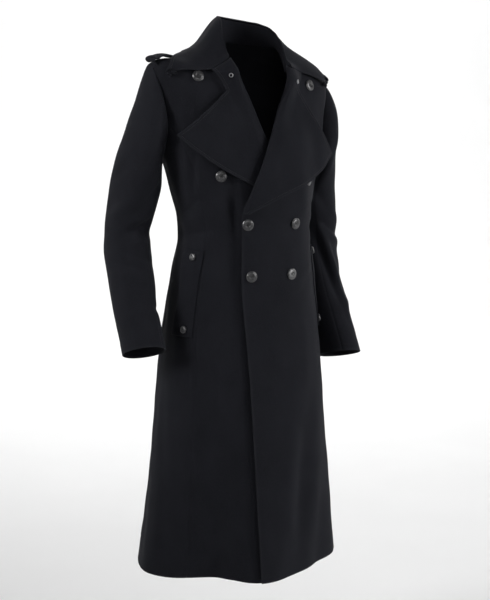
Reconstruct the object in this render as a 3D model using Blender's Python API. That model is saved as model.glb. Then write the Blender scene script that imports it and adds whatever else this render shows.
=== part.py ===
"""Long double-breasted wool coat in its worn shape: an open hollow shell of sewn panels.

Metres, +Z up. The wearer faces -Y, their left is +X. The origin is the middle of the neck seam,
where the coat hangs from the shoulders. Every panel is a wall of cloth between an outer and an
inner skin, worked out from the section tables below.
"""

import math
from collections import namedtuple

import bmesh
import bpy
import numpy as np
from mathutils import Vector
from mathutils.bvhtree import BVHTree

# Cloth and seams
CLOTH = 0.0024
SEAM_GAP = 0.0003

# Heights below the neck seam
HEM_Z = -1.110
BREAK_Z = -0.363
ARMPIT_Z = -0.232
SHOULDER_Z = -0.072
NECK_Z = -0.004

# Turns from centre front (0) to centre back (180), in degrees: how far the armhole reaches forwards and
# back from the side, and the princess seam below the chest, which curves to the armhole
ARMHOLE_FRONT = 18.0
ARMHOLE_BACK = 36.0
PRINCESS_LOW = 58.8
PRINCESS_CURVE = 6

# Places round the armhole, from its top (0) by the front (90) to the armpit (180), in degrees
PRINCESS_PHI = 120
SIDE_PHI = 200
ARMHOLE_STEP = 20

# How far the left front lies over the right one, and over the right lapel
OVER_LIFT = 0.0042
UNDER_SINK = 0.0020
OVER_LAPEL_LIFT = 0.0142
# Between which distances across and which heights the lap fades out
OVER_FADE_X = (0.070, 0.135)
OVER_RISE_Z = (BREAK_Z - 0.02, BREAK_Z + 0.03)
OVER_SETTLE_Z = (-0.20, -0.13)
UNDER_FADE_X = (0.030, 0.090)
UNDER_FADE_Z = (-0.25, -0.20)
# Least turn that a front keeps at the neck, in degrees
FRONT_LEAST_TURN = 4.0

# Stance: how steeply the left side drops, from the waist up
Stance = namedtuple("Stance", "z tilt shift")
STANCE = (
    Stance(-1.20, 0.000, 0.000),
    Stance(-0.52, 0.000, 0.000),
    Stance(-0.40, 0.008, 0.002),
    Stance(-0.25, 0.085, -0.004),
    Stance(-0.06, 0.085, -0.009),
    Stance(0.04, 0.140, -0.009),
)

# The raised right shoulder runs flatter to the neck: how far it sinks there, and between which distances
# from the centre and heights the sinking comes and goes
SAG_DEPTH = 0.026
SAG_START = (0.050, 0.116)
SAG_END = (0.130, 0.215)
SAG_HEIGHT = (-0.100, -0.030)

Section = namedtuple("Section", "z half_width front back centre_y power")
BODY_SECTIONS = (
    Section(-1.110, 0.205, 0.210, 0.215, 0.022, 2.1),
    Section(-0.850, 0.187, 0.178, 0.184, 0.017, 2.1),
    Section(-0.620, 0.172, 0.144, 0.150, 0.011, 2.2),
    Section(-0.500, 0.158, 0.123, 0.124, 0.006, 2.2),
    Section(-0.395, 0.145, 0.120, 0.106, 0.002, 2.2),
    Section(-0.300, 0.164, 0.119, 0.114, 0.006, 2.2),
    Section(-0.220, 0.186, 0.116, 0.124, 0.010, 2.2),
    Section(-0.150, 0.200, 0.106, 0.126, 0.010, 2.2),
    Section(-0.110, 0.2065, 0.097, 0.122, 0.007, 2.2),
    Section(-0.090, 0.2090, 0.089, 0.117, 0.005, 2.2),
    Section(-0.072, 0.2060, 0.080, 0.110, 0.002, 2.2),
    Section(-0.060, 0.1930, 0.0745, 0.1025, 0.000, 2.15),
    Section(-0.048, 0.176, 0.069, 0.095, -0.002, 2.1),
    Section(-0.026, 0.134, 0.058, 0.080, -0.006, 2.0),
    Section(-0.010, 0.096, 0.052, 0.066, -0.010, 2.0),
    Section(0.000, 0.074, 0.048, 0.058, -0.014, 2.0),
)

# Where a front ends across the chest: its edge, then from the break up the lapel's fold
Roll = namedtuple("Roll", "z x")
ROLL = (
    Roll(-1.110, -0.066),
    Roll(-0.750, -0.063),
    Roll(-0.480, -0.067),
    Roll(-0.363, -0.067),
    Roll(-0.311, -0.046),
    Roll(-0.256, -0.019),
    Roll(-0.205, 0.002),
    Roll(-0.160, 0.022),
    Roll(-0.130, 0.036),
    Roll(-0.090, 0.056),
    Roll(-0.050, 0.074),
    Roll(0.000, 0.079),
)

# Soft flutes of the skirt: place round the hem (left is positive), depth at the hem, half width, top
Fold = namedtuple("Fold", "turn depth spread top")
SKIRT_FOLDS = (
    Fold(-18.0, 0.030, 15.0, -0.62),
    Fold(28.0, -0.020, 15.0, -0.62),
    Fold(66.0, 0.004, 12.0, -0.60),
    Fold(-47.0, -0.018, 14.0, -0.66),
    Fold(-78.0, 0.048, 25.0, -0.56),
    Fold(-128.0, -0.010, 16.0, -0.60),
    Fold(-158.0, 0.016, 15.0, -0.52),
    Fold(152.0, 0.018, 17.0, -0.52),
    Fold(112.0, 0.012, 15.0, -0.58),
)

# Sleeves: outer and inner points across, the middle fore and aft, and the half depth, from armhole to cuff
SleeveSection = namedtuple("SleeveSection", "share outer_x outer_z inner_x inner_z middle_y half_depth")
SLEEVES = {
    1: (
        SleeveSection(0.00, 0.211, -0.072, 0.188, -0.232, 0.008, 0.072),
        SleeveSection(0.05, 0.242, -0.079, 0.192, -0.238, 0.010, 0.080),
        SleeveSection(0.11, 0.242, -0.120, 0.186, -0.246, 0.023, 0.068),
        SleeveSection(0.19, 0.250, -0.180, 0.176, -0.262, 0.037, 0.064),
        SleeveSection(0.33, 0.268, -0.293, 0.164, -0.309, 0.060, 0.061),
        SleeveSection(0.50, 0.280, -0.395, 0.186, -0.401, 0.078, 0.057),
        SleeveSection(0.62, 0.276, -0.459, 0.182, -0.463, 0.062, 0.057),
        SleeveSection(0.75, 0.273, -0.540, 0.182, -0.544, 0.027, 0.056),
        SleeveSection(0.86, 0.276, -0.590, 0.187, -0.590, 0.006, 0.056),
        SleeveSection(1.00, 0.287, -0.667, 0.199, -0.667, -0.018, 0.055),
    ),
    -1: (
        SleeveSection(0.00, 0.211, -0.072, 0.188, -0.232, 0.008, 0.072),
        SleeveSection(0.05, 0.211, -0.086, 0.190, -0.238, 0.012, 0.071),
        SleeveSection(0.11, 0.214, -0.124, 0.190, -0.246, 0.020, 0.068),
        SleeveSection(0.19, 0.231, -0.182, 0.184, -0.262, 0.032, 0.065),
        SleeveSection(0.33, 0.270, -0.296, 0.172, -0.314, 0.050, 0.062),
        SleeveSection(0.52, 0.282, -0.424, 0.191, -0.430, 0.070, 0.058),
        SleeveSection(0.62, 0.288, -0.483, 0.190, -0.487, 0.055, 0.058),
        SleeveSection(0.74, 0.287, -0.546, 0.195, -0.550, 0.030, 0.057),
        SleeveSection(0.86, 0.286, -0.593, 0.199, -0.593, 0.010, 0.056),
        SleeveSection(1.00, 0.285, -0.663, 0.197, -0.663, -0.018, 0.055),
    ),
}
ARM_TILT = 0.085
SLEEVE_BLEND = 0.14
SLEEVE_START = 0.004
SLEEVE_GAP = 0.0006
SLEEVE_TOP_GAP = 0.0022
SLEEVE_SEAM_GAP = 0.0009
SLEEVE_FRONT_SEAM = 120
SLEEVE_BACK_SEAM = 240

# Lapel corners, across and up on the chest: tip, notch, gorge end and top of the fold
LAPEL_TIPS = {1: (0.183, -0.223), -1: (0.189, -0.212)}
LAPEL_NOTCHES = {1: (0.083, -0.093), -1: (0.082, -0.114)}
LAPEL_TOP = (0.100, -0.0600)
# How far the lower edge bellies out, and how near the tip
Belly = namedtuple("Belly", "depth lean")
LAPEL_BELLIES = {1: Belly(0.017, 2.0), -1: Belly(0.010, 1.3)}
# Share of the collar's end that the gorge is sewn to, from where the lapel rises to it, and its seam
GORGE_SHARE = 0.26
GORGE_RISE = 0.70
GORGE_GAP = 0.0010
LAPEL_FOLD_TOP_Z = -0.0500
LAPEL_SPREAD = 0.036
LAPEL_BASE_LIFT = 0.0042
LAPEL_ROLL_LIFT = 0.0044
LAPEL_EDGE_LIFT = 0.0022
LAPEL_ROLL_SHARES = (0.0, 0.15)
LAPEL_EDGE_SHARES = (0.5, 1.0)
LAPEL_NECK_LIFT = 0.012
LAPEL_TOP_LIFTS = {1: 0.0024, -1: 0.0008}
LAPEL_TOP_RISE_Z = (-0.13, -0.08)
LAPEL_SPREAD_X = (0.05, 0.15)
# The fold stands off the chest between these heights, and fades out at these distances from the fold
NECK_RISE_Z = (-0.20, -0.09)
NECK_SETTLE_Z = (-0.080, -0.050)
NECK_FADE_X = (0.006, 0.040)
# Columns from the fold to the edge, and steps along the lower edge, the upper edge and the gorge
LAPEL_SHARES = (0.0, 0.05, 0.15, 0.4, 0.7, 1.0)
LAPEL_LEGS = (5, 4, 2)
# Share of the fold and of the lower edge where each lapel starts: the right one ends under the left front
LAPEL_STARTS = {1: (0.015, 0.030), -1: (0.330, 0.330)}

# Collar: from centre back to the front end, the neck seam, the fold and the outer edge
CollarSection = namedtuple(
    "CollarSection", "turn seam_x seam_y seam_z fold_x fold_y fold_z edge_x edge_y edge_z"
)
COLLAR_SECTIONS = (
    CollarSection(0, 0.000, 0.046, 0.003, 0.000, 0.040, 0.041, 0.000, 0.096, -0.032),
    CollarSection(45, 0.050, 0.027, 0.003, 0.041, 0.021, 0.039, 0.082, 0.068, -0.034),
    CollarSection(90, 0.073, -0.014, 0.000, 0.059, -0.022, 0.030, 0.124, 0.004, -0.036),
    CollarSection(130, 0.075, -0.047, -0.022, 0.071, -0.053, -0.001, 0.164, -0.026, -0.066),
    CollarSection(165, 0.072, -0.071, -0.053, 0.071, -0.078, -0.047, 0.190, -0.046, -0.088),
)
COLLAR_END = COLLAR_SECTIONS[-1].turn
# The outer edge leans to the left in front, between these turns
COLLAR_LEAN = 0.035
COLLAR_LEAN_TURNS = (90, 140)
COLLAR_CROWN = 0.004
COLLAR_CROWN_LEAN = 0.7
COLLAR_CROWN_POWER = 0.75
COLLAR_CLEAR = 0.0100
COLLAR_STEPS = 20
FALL_SHARES = (0.0, 0.06, 0.2, 0.45, 0.72, 1.0)
# Distance over which the slope of the shoulders is measured
SLOPE_STEP = 0.004

# Epaulette: across, height above the shoulder, and width, from the sleeve seam to under the collar
StrapSection = namedtuple("StrapSection", "share x rise width")
STRAP_SECTIONS = (
    StrapSection(0.00, 0.2010, 0.0014, 0.036),
    StrapSection(0.05, 0.2065, 0.0035, 0.037),
    StrapSection(0.12, 0.2095, 0.0085, 0.038),
    StrapSection(0.20, 0.2035, 0.0125, 0.038),
    StrapSection(0.40, 0.1860, 0.0110, 0.038),
    StrapSection(0.65, 0.1600, 0.0056, 0.037),
    StrapSection(0.85, 0.1400, 0.0038, 0.036),
    StrapSection(1.00, 0.1240, 0.0030, 0.035),
)
STRAP_SHARES = (0, 0.03, 0.06, 0.09, 0.12, 0.16, 0.2, 0.28, 0.4, 0.6, 0.8, 1.0)
STRAP_DROOP = 0.95
STRAP_OVERHANG = 0.3
STRAP_SEAT_X = 0.198
STRAP_THICK = 0.0030
STRAP_Y = -0.002
STRAP_LIFTS = {1: 0.0001, -1: -0.0006}

# Pocket welts: heights, then their start, middle and slant behind the princess seams in degrees
WELT_TOP_Z = -0.434
WELT_BOTTOM_Z = -0.612
WELT_START = 0.3
WELT_MIDDLE = 8.0
WELT_SLANT = 3.5
WELT_WIDTH = 0.056
WELT_LIFT = 0.0008
WELT_STEPS = 4
WELT_LIP_LIFT = 0.0030
WELT_THICK = 0.0026

# Buttons: radius, thickness, and places across and up
BUTTON_RADIUS = 0.0118
POCKET_BUTTON_RADIUS = 0.0078
BUTTON_THICK = 0.0042
BUTTON_SIDES = 12
ButtonRow = namedtuple("ButtonRow", "word x z left_on right_on")
BUTTON_ROWS = (
    ButtonRow("shoulder", 0.134, -0.088, "front_left", "front_right"),
    ButtonRow("chest", 0.101, -0.287, "front_left", "front_right"),
    ButtonRow("waist", 0.057, -0.380, "front_left", "front_left"),
    ButtonRow("hip", 0.048, -0.486, "front_left", "front_left"),
)
POCKET_BUTTONS = {"top": -0.448, "bottom": -0.597}
POCKET_BUTTON_TURN = 11.4
# Outline of a button from its seat to its sunk middle, in shares of its radius and thickness
ButtonRing = namedtuple("ButtonRing", "reach rise")
BUTTON_RINGS = (
    ButtonRing(0.86, 0.0),
    ButtonRing(1.0, 0.45),
    ButtonRing(0.93, 1.0),
    ButtonRing(0.40, 0.95),
    ButtonRing(0.28, 0.62),
)

# Throat fastening: places across of the left and right ring, height, radius and wire
HOOK_PLACES = {1: 0.081, -1: 0.076}
HOOK_Z = -0.082
HOOK_RADIUS = 0.0036
HOOK_WIRE = 0.0009
HOOK_SIDES = 10
WIRE_SIDES = 6

# Where seats are looked for: from this far in front, or this many times as far out as the skin
FRONT_Y = -1.0
SIDE_REACH = 8.0

COLOURS = {
    "wool": (0.0125, 0.0128, 0.0148, 1.0),
    "horn": (0.075, 0.075, 0.080, 1.0),
    "steel": (0.60, 0.60, 0.61, 1.0),
}
ROUGHNESS = {"wool": 0.9, "horn": 0.28, "steel": 0.3}


def smoothstep(value, start, end):
    """0 before start, 1 after end, smooth between."""
    t = np.clip((value - start) / (end - start), 0.0, 1.0)
    return t * t * (3.0 - 2.0 * t)


def smooth_curve(xs, ys):
    """A curve through a table's column that doesn't overshoot its rows."""
    xs, ys = np.asarray(xs, float), np.asarray(ys, float)
    step = np.diff(xs)
    slope = np.diff(ys) / step
    tangent = np.empty_like(ys)
    tangent[0], tangent[-1] = slope[0], slope[-1]
    before, after = slope[:-1], slope[1:]
    total = np.where(before * after > 0, before + after, 1.0)
    tangent[1:-1] = np.where(before * after > 0, 2.0 * before * after / total, 0.0)

    def at(x):
        x = np.clip(x, xs[0], xs[-1])
        i = np.clip(np.searchsorted(xs, x) - 1, 0, len(step) - 1)
        t = (x - xs[i]) / step[i]
        rise = ys[i] * (1 + 2 * t) * (1 - t) ** 2 + ys[i + 1] * t * t * (3 - 2 * t)
        return rise + step[i] * (tangent[i] * t * (1 - t) ** 2 + tangent[i + 1] * t * t * (t - 1))

    return at


def columns(table):
    """One smooth curve for each column of a table, over its first column."""
    first, *others = zip(*table)
    return {name: smooth_curve(first, column) for name, column in zip(table[0]._fields[1:], others)}


BODY = columns(BODY_SECTIONS)
LEAN = columns(STANCE)
ROLL_X = columns(ROLL)["x"]
SLEEVE = {side: columns(table) for side, table in SLEEVES.items()}
COLLAR = columns(COLLAR_SECTIONS)
STRAP = columns(STRAP_SECTIONS)


def posed(points):
    """Points leaned into the stance."""
    moved = np.array(points, float)
    moved[..., 2] -= points[..., 0] * LEAN["tilt"](points[..., 2])
    moved[..., 0] += LEAN["shift"](points[..., 2])
    beside = smoothstep(-points[..., 0], *SAG_START) * (1 - smoothstep(-points[..., 0], *SAG_END))
    moved[..., 2] -= SAG_DEPTH * beside * smoothstep(points[..., 2], *SAG_HEIGHT)
    return moved


def fold_lift(signed_turn, z):
    """How far the skirt's flutes stand out; turns to the left are positive."""
    lift = np.zeros(np.broadcast(signed_turn, z).shape)
    for fold in SKIRT_FOLDS:
        near = np.exp(-(((np.degrees(signed_turn) - fold.turn) / fold.spread) ** 2))
        lift += fold.depth * near * np.clip((fold.top - z) / (fold.top - HEM_Z), 0, 1) ** 1.4
    return lift


def body_skin(side, turn, z):
    """The coat's outer skin before layers: turn runs from centre front to centre back."""
    turn, z = np.broadcast_arrays(np.asarray(turn, float), np.asarray(z, float))
    s, c = np.sin(turn), np.cos(turn)
    power = 2.0 / BODY["power"](z)
    flute = fold_lift(side * turn, z)
    x = (BODY["half_width"](z) + flute) * np.sign(s) * np.abs(s) ** power
    depth = np.where(c > 0, BODY["front"](z), BODY["back"](z)) + flute
    y = BODY["centre_y"](z) - depth * np.sign(c) * np.abs(c) ** power
    return posed(np.stack([side * x, y, z], -1))


def shoulder_height(x, y):
    """Height of the body's skin, before the stance, above a place on the shoulders or chest."""
    x, y = np.broadcast_arrays(np.abs(np.asarray(x, float)), np.asarray(y, float))
    low, high = np.full(x.shape, ARMPIT_Z), np.zeros(x.shape)
    for _ in range(30):
        z = (low + high) / 2
        power, off = BODY["power"](z), y - BODY["centre_y"](z)
        depth = np.where(off < 0, BODY["front"](z), BODY["back"](z))
        inside = (x / BODY["half_width"](z)) ** power + (np.abs(off) / depth) ** power < 1
        low, high = np.where(inside, z, low), np.where(inside, high, z)
    return low


def normals_of(skin, first, second, outward):
    """Unit normals of skin(first, second), turned to the outward side."""
    d = 1e-4
    along = skin(first + d, second) - skin(first - d, second)
    across = skin(first, second + d) - skin(first, second - d)
    n = np.cross(along, across)
    n /= np.linalg.norm(n, axis=-1, keepdims=True)
    return n * outward


def body_layer(side, turn, z, lift):
    """Outer and inner skins of a panel that lies lift above the body's skin."""
    turn, z = np.broadcast_arrays(np.asarray(turn, float), np.asarray(z, float))
    n = normals_of(lambda a, b: body_skin(side, a, b), turn, z, side)
    outer = body_skin(side, turn, z) + n * np.asarray(lift)[..., None]
    return outer, outer - n * CLOTH


def turn_at(x, z):
    """The turn where the body's skin has this distance from the centre, front half."""
    share = np.clip(np.abs(x) / BODY["half_width"](z), 0, 1)
    return np.sign(x) * np.arcsin(share ** (BODY["power"](z) / 2.0))


def armhole(phi):
    """Turn and height round the armhole: phi 0 at the shoulder, 90 in front, 180 at the armpit."""
    middle, half = (SHOULDER_Z + ARMPIT_Z) / 2, (SHOULDER_Z - ARMPIT_Z) / 2
    reach = np.where(np.sin(phi) > 0, ARMHOLE_FRONT, ARMHOLE_BACK)
    return np.radians(90.0 - reach * np.sin(phi)), middle + half * np.cos(phi)


def armhole_turn(z, front):
    """The turn of the armhole's front or back edge at a height."""
    middle, half = (SHOULDER_Z + ARMPIT_Z) / 2, (SHOULDER_Z - ARMPIT_Z) / 2
    share = np.sqrt(np.clip(1 - ((z - middle) / half) ** 2, 0, 1))
    return np.radians(90.0 + (-ARMHOLE_FRONT if front else ARMHOLE_BACK) * share)


def neck_stand_off(x, z):
    """How far the fold of a lapel stands off the chest near the neck."""
    up = smoothstep(z, *NECK_RISE_Z) * (1 - smoothstep(z, *NECK_SETTLE_Z))
    return LAPEL_NECK_LIFT * up * (1 - smoothstep(x - ROLL_X(z), *NECK_FADE_X))


def front_lift(side, x, z):
    """How far a front stands out: at the neck, and the left one over the right one and its lapel."""
    stand_off = neck_stand_off(x, z)
    if side < 0:
        under = (1 - smoothstep(x, *UNDER_FADE_X)) * (1 - smoothstep(z, *UNDER_FADE_Z))
        return stand_off - UNDER_SINK * under
    over = 1 - smoothstep(x, *OVER_FADE_X)
    above = smoothstep(z, *OVER_RISE_Z) * (1 - smoothstep(z, *OVER_SETTLE_Z))
    return stand_off + over * (OVER_LIFT + (OVER_LAPEL_LIFT - OVER_LIFT) * above)


def remove_objects():
    for obj in list(bpy.data.objects):
        bpy.data.objects.remove(obj, do_unlink=True)


def material(name):
    made = bpy.data.materials.get(name) or bpy.data.materials.new(name)
    made.use_nodes = True
    shader = made.node_tree.nodes["Principled BSDF"]
    shader.inputs["Base Color"].default_value = COLOURS[name]
    shader.inputs["Roughness"].default_value = ROUGHNESS[name]
    shader.inputs["Metallic"].default_value = float(name == "steel")
    return made


def add_mesh(name, bm, material_name):
    """One named object from a bmesh, its faces pointing out."""
    bmesh.ops.recalc_face_normals(bm, faces=bm.faces)
    mesh = bpy.data.meshes.new(name)
    bm.to_mesh(mesh)
    bm.free()
    mesh.shade_smooth()
    mesh.set_sharp_from_angle(angle=math.radians(40))
    mesh.materials.append(material(material_name))
    obj = bpy.data.objects.new(name, mesh)
    bpy.context.scene.collection.objects.link(obj)
    return obj


def wall(name, outer, inner, material_name="wool"):
    """A closed wall between two skins, each a grid of points."""
    rows, cols = outer.shape[:2]
    bm = bmesh.new()
    skins = [[[bm.verts.new(p) for p in row] for row in skin] for skin in (outer, inner)]
    for skin in skins:
        for r in range(rows - 1):
            for c in range(cols - 1):
                bm.faces.new((skin[r][c], skin[r][c + 1], skin[r + 1][c + 1], skin[r + 1][c]))
    rim = [(0, c) for c in range(cols)] + [(r, cols - 1) for r in range(1, rows)]
    rim += [(rows - 1, c) for c in range(cols - 2, -1, -1)] + [(r, 0) for r in range(rows - 2, 0, -1)]
    for (r0, c0), (r1, c1) in zip(rim, rim[1:] + rim[:1]):
        bm.faces.new((skins[0][r0][c0], skins[0][r1][c1], skins[1][r1][c1], skins[1][r0][c0]))
    return add_mesh(name, bm, material_name)


def levels(start, *stops):
    """Heights upwards from start: (end height, steps) for each stretch."""
    made = [start]
    for end, steps in stops:
        made += list(np.linspace(made[-1], end, steps + 1)[1:])
    return made


def inset(turn, z, gaps):
    """A turn moved by this many half seam gaps."""
    return turn + gaps * (SEAM_GAP / 2) / BODY["half_width"](z)


PRINCESS_TURN = math.radians(PRINCESS_LOW)
PRINCESS_TOP_TURN, PRINCESS_TOP_Z = (float(v) for v in armhole(math.radians(PRINCESS_PHI)))
SIDE_TURN, SIDE_TOP_Z = (float(v) for v in armhole(math.radians(SIDE_PHI)))
# Rows shared by panels that meet, so that their seams match
SKIRT_ROWS = levels(HEM_Z, (-0.86, 2), (WELT_BOTTOM_Z, 3), (WELT_TOP_Z, WELT_STEPS), (BREAK_Z, 2))
CHEST_STEPS = 4
SHOULDER_STOPS = ((-0.030, 3), (NECK_Z, 2))


def seam_curve(up):
    """How far the princess seam has curved to the armhole at a share of the way from the break to it."""
    return np.clip(up, 0, 1) ** PRINCESS_CURVE


def upper_rows(corner_phi):
    """Rows above the break: to where a seam meets the armhole, round the armhole, over the shoulder."""
    phi = np.radians(np.arange(corner_phi - ARMHOLE_STEP, -1, -ARMHOLE_STEP))
    corner_z = float(armhole(math.radians(corner_phi))[1])
    below = levels(BREAK_Z, (corner_z, CHEST_STEPS))[1:]
    return below + list(armhole(phi)[1]) + levels(SHOULDER_Z, *SHOULDER_STOPS)[1:]


def front_panel(side, name):
    """Centre front to princess seam, and up past the armhole to the shoulder seam."""
    z = np.array(SKIRT_ROWS + upper_rows(PRINCESS_PHI))[:, None]
    inner_edge = turn_at(ROLL_X(z), z)
    curve = seam_curve((z - BREAK_Z) / (PRINCESS_TOP_Z - BREAK_Z))
    outer_edge = np.where(
        z < PRINCESS_TOP_Z,
        PRINCESS_TURN + (PRINCESS_TOP_TURN - PRINCESS_TURN) * curve,
        np.where(z < SHOULDER_Z, armhole_turn(z, True), np.radians(90.0)),
    )
    outer_edge = inset(outer_edge, z, -1)
    inner_edge = np.minimum(inner_edge, outer_edge - np.radians(FRONT_LEAST_TURN))
    share = np.linspace(0, 1, 9)[None, :]
    turn = inner_edge + (outer_edge - inner_edge) * share
    x = np.abs(body_skin(1, turn, z)[..., 0]) * np.sign(turn)
    return wall(name, *body_layer(side, turn, z, front_lift(side, x, z)))


def side_panel(side, name):
    """Princess seam to side seam, up to the armhole."""
    phi = np.radians(np.arange(PRINCESS_PHI, SIDE_PHI + 1, ARMHOLE_STEP))[None, :]
    top_turn, top = armhole(phi)
    low_turn = np.linspace(PRINCESS_TURN, SIDE_TURN, phi.shape[1])[None, :]
    up = np.concatenate([np.zeros(len(SKIRT_ROWS)), np.linspace(0, 1, CHEST_STEPS + 1)[1:]])[:, None]
    lower = np.array(SKIRT_ROWS)[:, None] + 0 * phi
    z = np.concatenate([lower, BREAK_Z + up[len(SKIRT_ROWS):] * (top - SEAM_GAP - BREAK_Z)])
    turn = low_turn + (top_turn - low_turn) * seam_curve(up)
    gaps = np.zeros(phi.shape[1])
    gaps[0], gaps[-1] = 1, -1
    turn = inset(turn, z, gaps[None, :])
    return wall(name, *body_layer(side, turn, z, np.zeros_like(z)))


def back_panel(side, name):
    """Side seam to centre back, and up past the armhole to the shoulder seam and neck."""
    z = np.array(SKIRT_ROWS + upper_rows(360 - SIDE_PHI))[:, None]
    outer_edge = np.where(
        z < SIDE_TOP_Z,
        SIDE_TURN,
        np.where(z < SHOULDER_Z, armhole_turn(z, False), np.radians(90.0)),
    )
    outer_edge = inset(outer_edge, z, 1)
    centre = inset(math.pi, z, -1)
    turn = outer_edge + (centre - outer_edge) * np.linspace(0, 1, 7)[None, :]
    return wall(name, *body_layer(side, turn, z, np.zeros_like(turn)))


def sleeve_skin(side, phi, share):
    """A sleeve's outer skin: phi 0 on the outside of the arm, 90 in front, 180 inside."""
    phi, share = np.broadcast_arrays(np.asarray(phi, float), np.asarray(share, float))
    sleeve = SLEEVE[side]

    def middle(at):
        x = (sleeve["outer_x"](at) + sleeve["inner_x"](at)) / 2
        z = (sleeve["outer_z"](at) + sleeve["inner_z"](at)) / 2
        return np.stack([x, sleeve["middle_y"](at), z], -1)

    step = 0.06
    tangent = middle(np.clip(share + step, 0, 1)) - middle(np.clip(share - step, 0, 1))
    across = np.stack([sleeve["outer_x"](share), sleeve["middle_y"](share), sleeve["outer_z"](share)], -1)
    across = across - middle(share)
    front = np.stack([np.zeros_like(share), tangent[..., 2], -tangent[..., 1]], -1)
    front /= np.linalg.norm(front, axis=-1, keepdims=True)
    depth = sleeve["half_depth"](share)[..., None]
    arm = middle(share) + np.cos(phi)[..., None] * across + np.sin(phi)[..., None] * depth * front
    arm[..., 0] *= side
    arm[..., 2] -= arm[..., 0] * ARM_TILT
    arm[..., 0] += LEAN["shift"](ARMPIT_Z)
    gap = SLEEVE_GAP + SLEEVE_TOP_GAP * np.clip(np.cos(phi), 0, 1) ** 2
    seam = body_skin(side, *armhole(phi))
    seam[..., 0] += side * gap
    return seam + (arm - seam) * smoothstep(share, 0.0, SLEEVE_BLEND)[..., None]


def sleeve_piece(side, name, first, last):
    """Upper or under sleeve, between two seams round the arm."""
    phi = np.arange(first, last + 1, ARMHOLE_STEP).astype(float)
    gap = math.degrees(SLEEVE_SEAM_GAP / SLEEVES[side][-1].half_depth)
    phi[0], phi[-1] = phi[0] + gap, phi[-1] - gap
    phi = np.radians(phi)[None, :]
    share = np.array(levels(SLEEVE_START, (0.26, 4), (1.0, 8)))[:, None]
    n = normals_of(lambda a, b: sleeve_skin(side, a, b), phi + 0 * share, share + 0 * phi, side)
    outer = sleeve_skin(side, phi, share)
    return wall(name, outer, outer - n * CLOTH)


def lapel_skin(side, x, z, lift):
    """The chest as the lapel lies on it, wider than the body so that the lapel stands off at its tip."""
    wide = BODY["half_width"](z) + LAPEL_SPREAD * smoothstep(x, *LAPEL_SPREAD_X)
    power = BODY["power"](z)
    reach = np.clip(1 - (np.abs(x) / wide) ** power, 0, 1) ** (1 / power)
    y = BODY["centre_y"](z) - BODY["front"](z) * reach - lift
    return posed(np.stack([side * x, y, z], -1))


def bellied(edge, side, steps):
    """A lapel's outline with the belly of its lower edge, which takes the first steps."""
    start, tip = edge[0], edge[steps]
    along = np.clip(np.arange(len(edge)) / steps, 0, 1)
    away = np.array((tip[1] - start[1], start[0] - tip[0])) / np.linalg.norm(tip - start)
    belly = LAPEL_BELLIES[side]
    return edge + away * (belly.depth * np.sin(math.pi * along**belly.lean))[:, None]


def polyline(corners, steps):
    """Points along straight legs between corners, with this many steps on each leg."""
    made = [np.array(corners[0], float)]
    for (start, end), count in zip(zip(corners, corners[1:]), steps):
        for k in range(1, count + 1):
            made.append(np.array(start) + (np.array(end) - np.array(start)) * k / count)
    return np.array(made)


def grid_normals(grid, hint):
    """Unit normals of a grid of points, on the side that hint points to."""
    n = np.cross(np.gradient(grid, axis=0), np.gradient(grid, axis=1))
    n /= np.linalg.norm(n, axis=-1, keepdims=True)
    return n * np.sign(np.sum(n * hint, -1, keepdims=True))


def lapel(side, name):
    """The front turned back on itself: from the fold to the tip, notch and gorge."""
    fold_start, edge_start = LAPEL_STARTS[side]
    fold_z = BREAK_Z + (LAPEL_FOLD_TOP_Z - BREAK_Z) * np.linspace(fold_start, 1, sum(LAPEL_LEGS) + 1)
    fold = np.stack([ROLL_X(fold_z), fold_z], -1)
    start = np.array([ROLL_X(BREAK_Z), BREAK_Z])
    tip, notch = LAPEL_TIPS[side], LAPEL_NOTCHES[side]
    start = start + (np.array(tip) - start) * edge_start
    edge = bellied(polyline((start, tip, notch, LAPEL_TOP), LAPEL_LEGS), side, LAPEL_LEGS[0])
    share = np.array(LAPEL_SHARES)
    flat = fold[:, None] + (edge - fold)[:, None] * share[None, :, None]
    x, z = flat[..., 0], flat[..., 1]
    roll = smoothstep(share, *LAPEL_ROLL_SHARES)
    free = smoothstep(share, *LAPEL_EDGE_SHARES)
    lift = LAPEL_BASE_LIFT + LAPEL_ROLL_LIFT * roll + LAPEL_EDGE_LIFT * free
    top = LAPEL_TOP_LIFTS[side] * smoothstep(z, *LAPEL_TOP_RISE_Z)
    skin = lapel_skin(side, x, z, lift[None, :] + top + front_lift(side, x, z))
    gorge = fall_skin(np.array([side * COLLAR_END]), share[None, :, None] * GORGE_SHARE)[0]
    down = skin[-2] - skin[-1]
    gorge = gorge + GORGE_GAP * down / np.linalg.norm(down, axis=-1, keepdims=True)
    rise = smoothstep(np.linspace(0, 1, len(skin)), GORGE_RISE, 1.0)
    skin = skin + (gorge - skin[-1]) * rise[:, None, None]
    n = grid_normals(skin, np.array((0.0, -1.0, 0.0)))
    return wall(name, skin, skin - n * CLOTH)


def collar_lines(turn):
    """Neck seam, fold and outer edge of the collar at turns from centre back, and which way it falls."""
    size, sign = np.abs(turn), np.sign(turn)
    lines = []
    for line in ("seam", "fold", "edge"):
        x = COLLAR[line + "_x"](size) * sign
        lines.append(np.stack([x, COLLAR[line + "_y"](size), COLLAR[line + "_z"](size)], -1))
    seam, fold, edge = lines
    edge[:, 2] += COLLAR_LEAN * edge[:, 0] * smoothstep(size, *COLLAR_LEAN_TURNS)
    away = (edge - fold) * (1.0, 1.0, 0.0)
    return seam, fold, edge, away / np.linalg.norm(away, axis=-1, keepdims=True)


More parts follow.
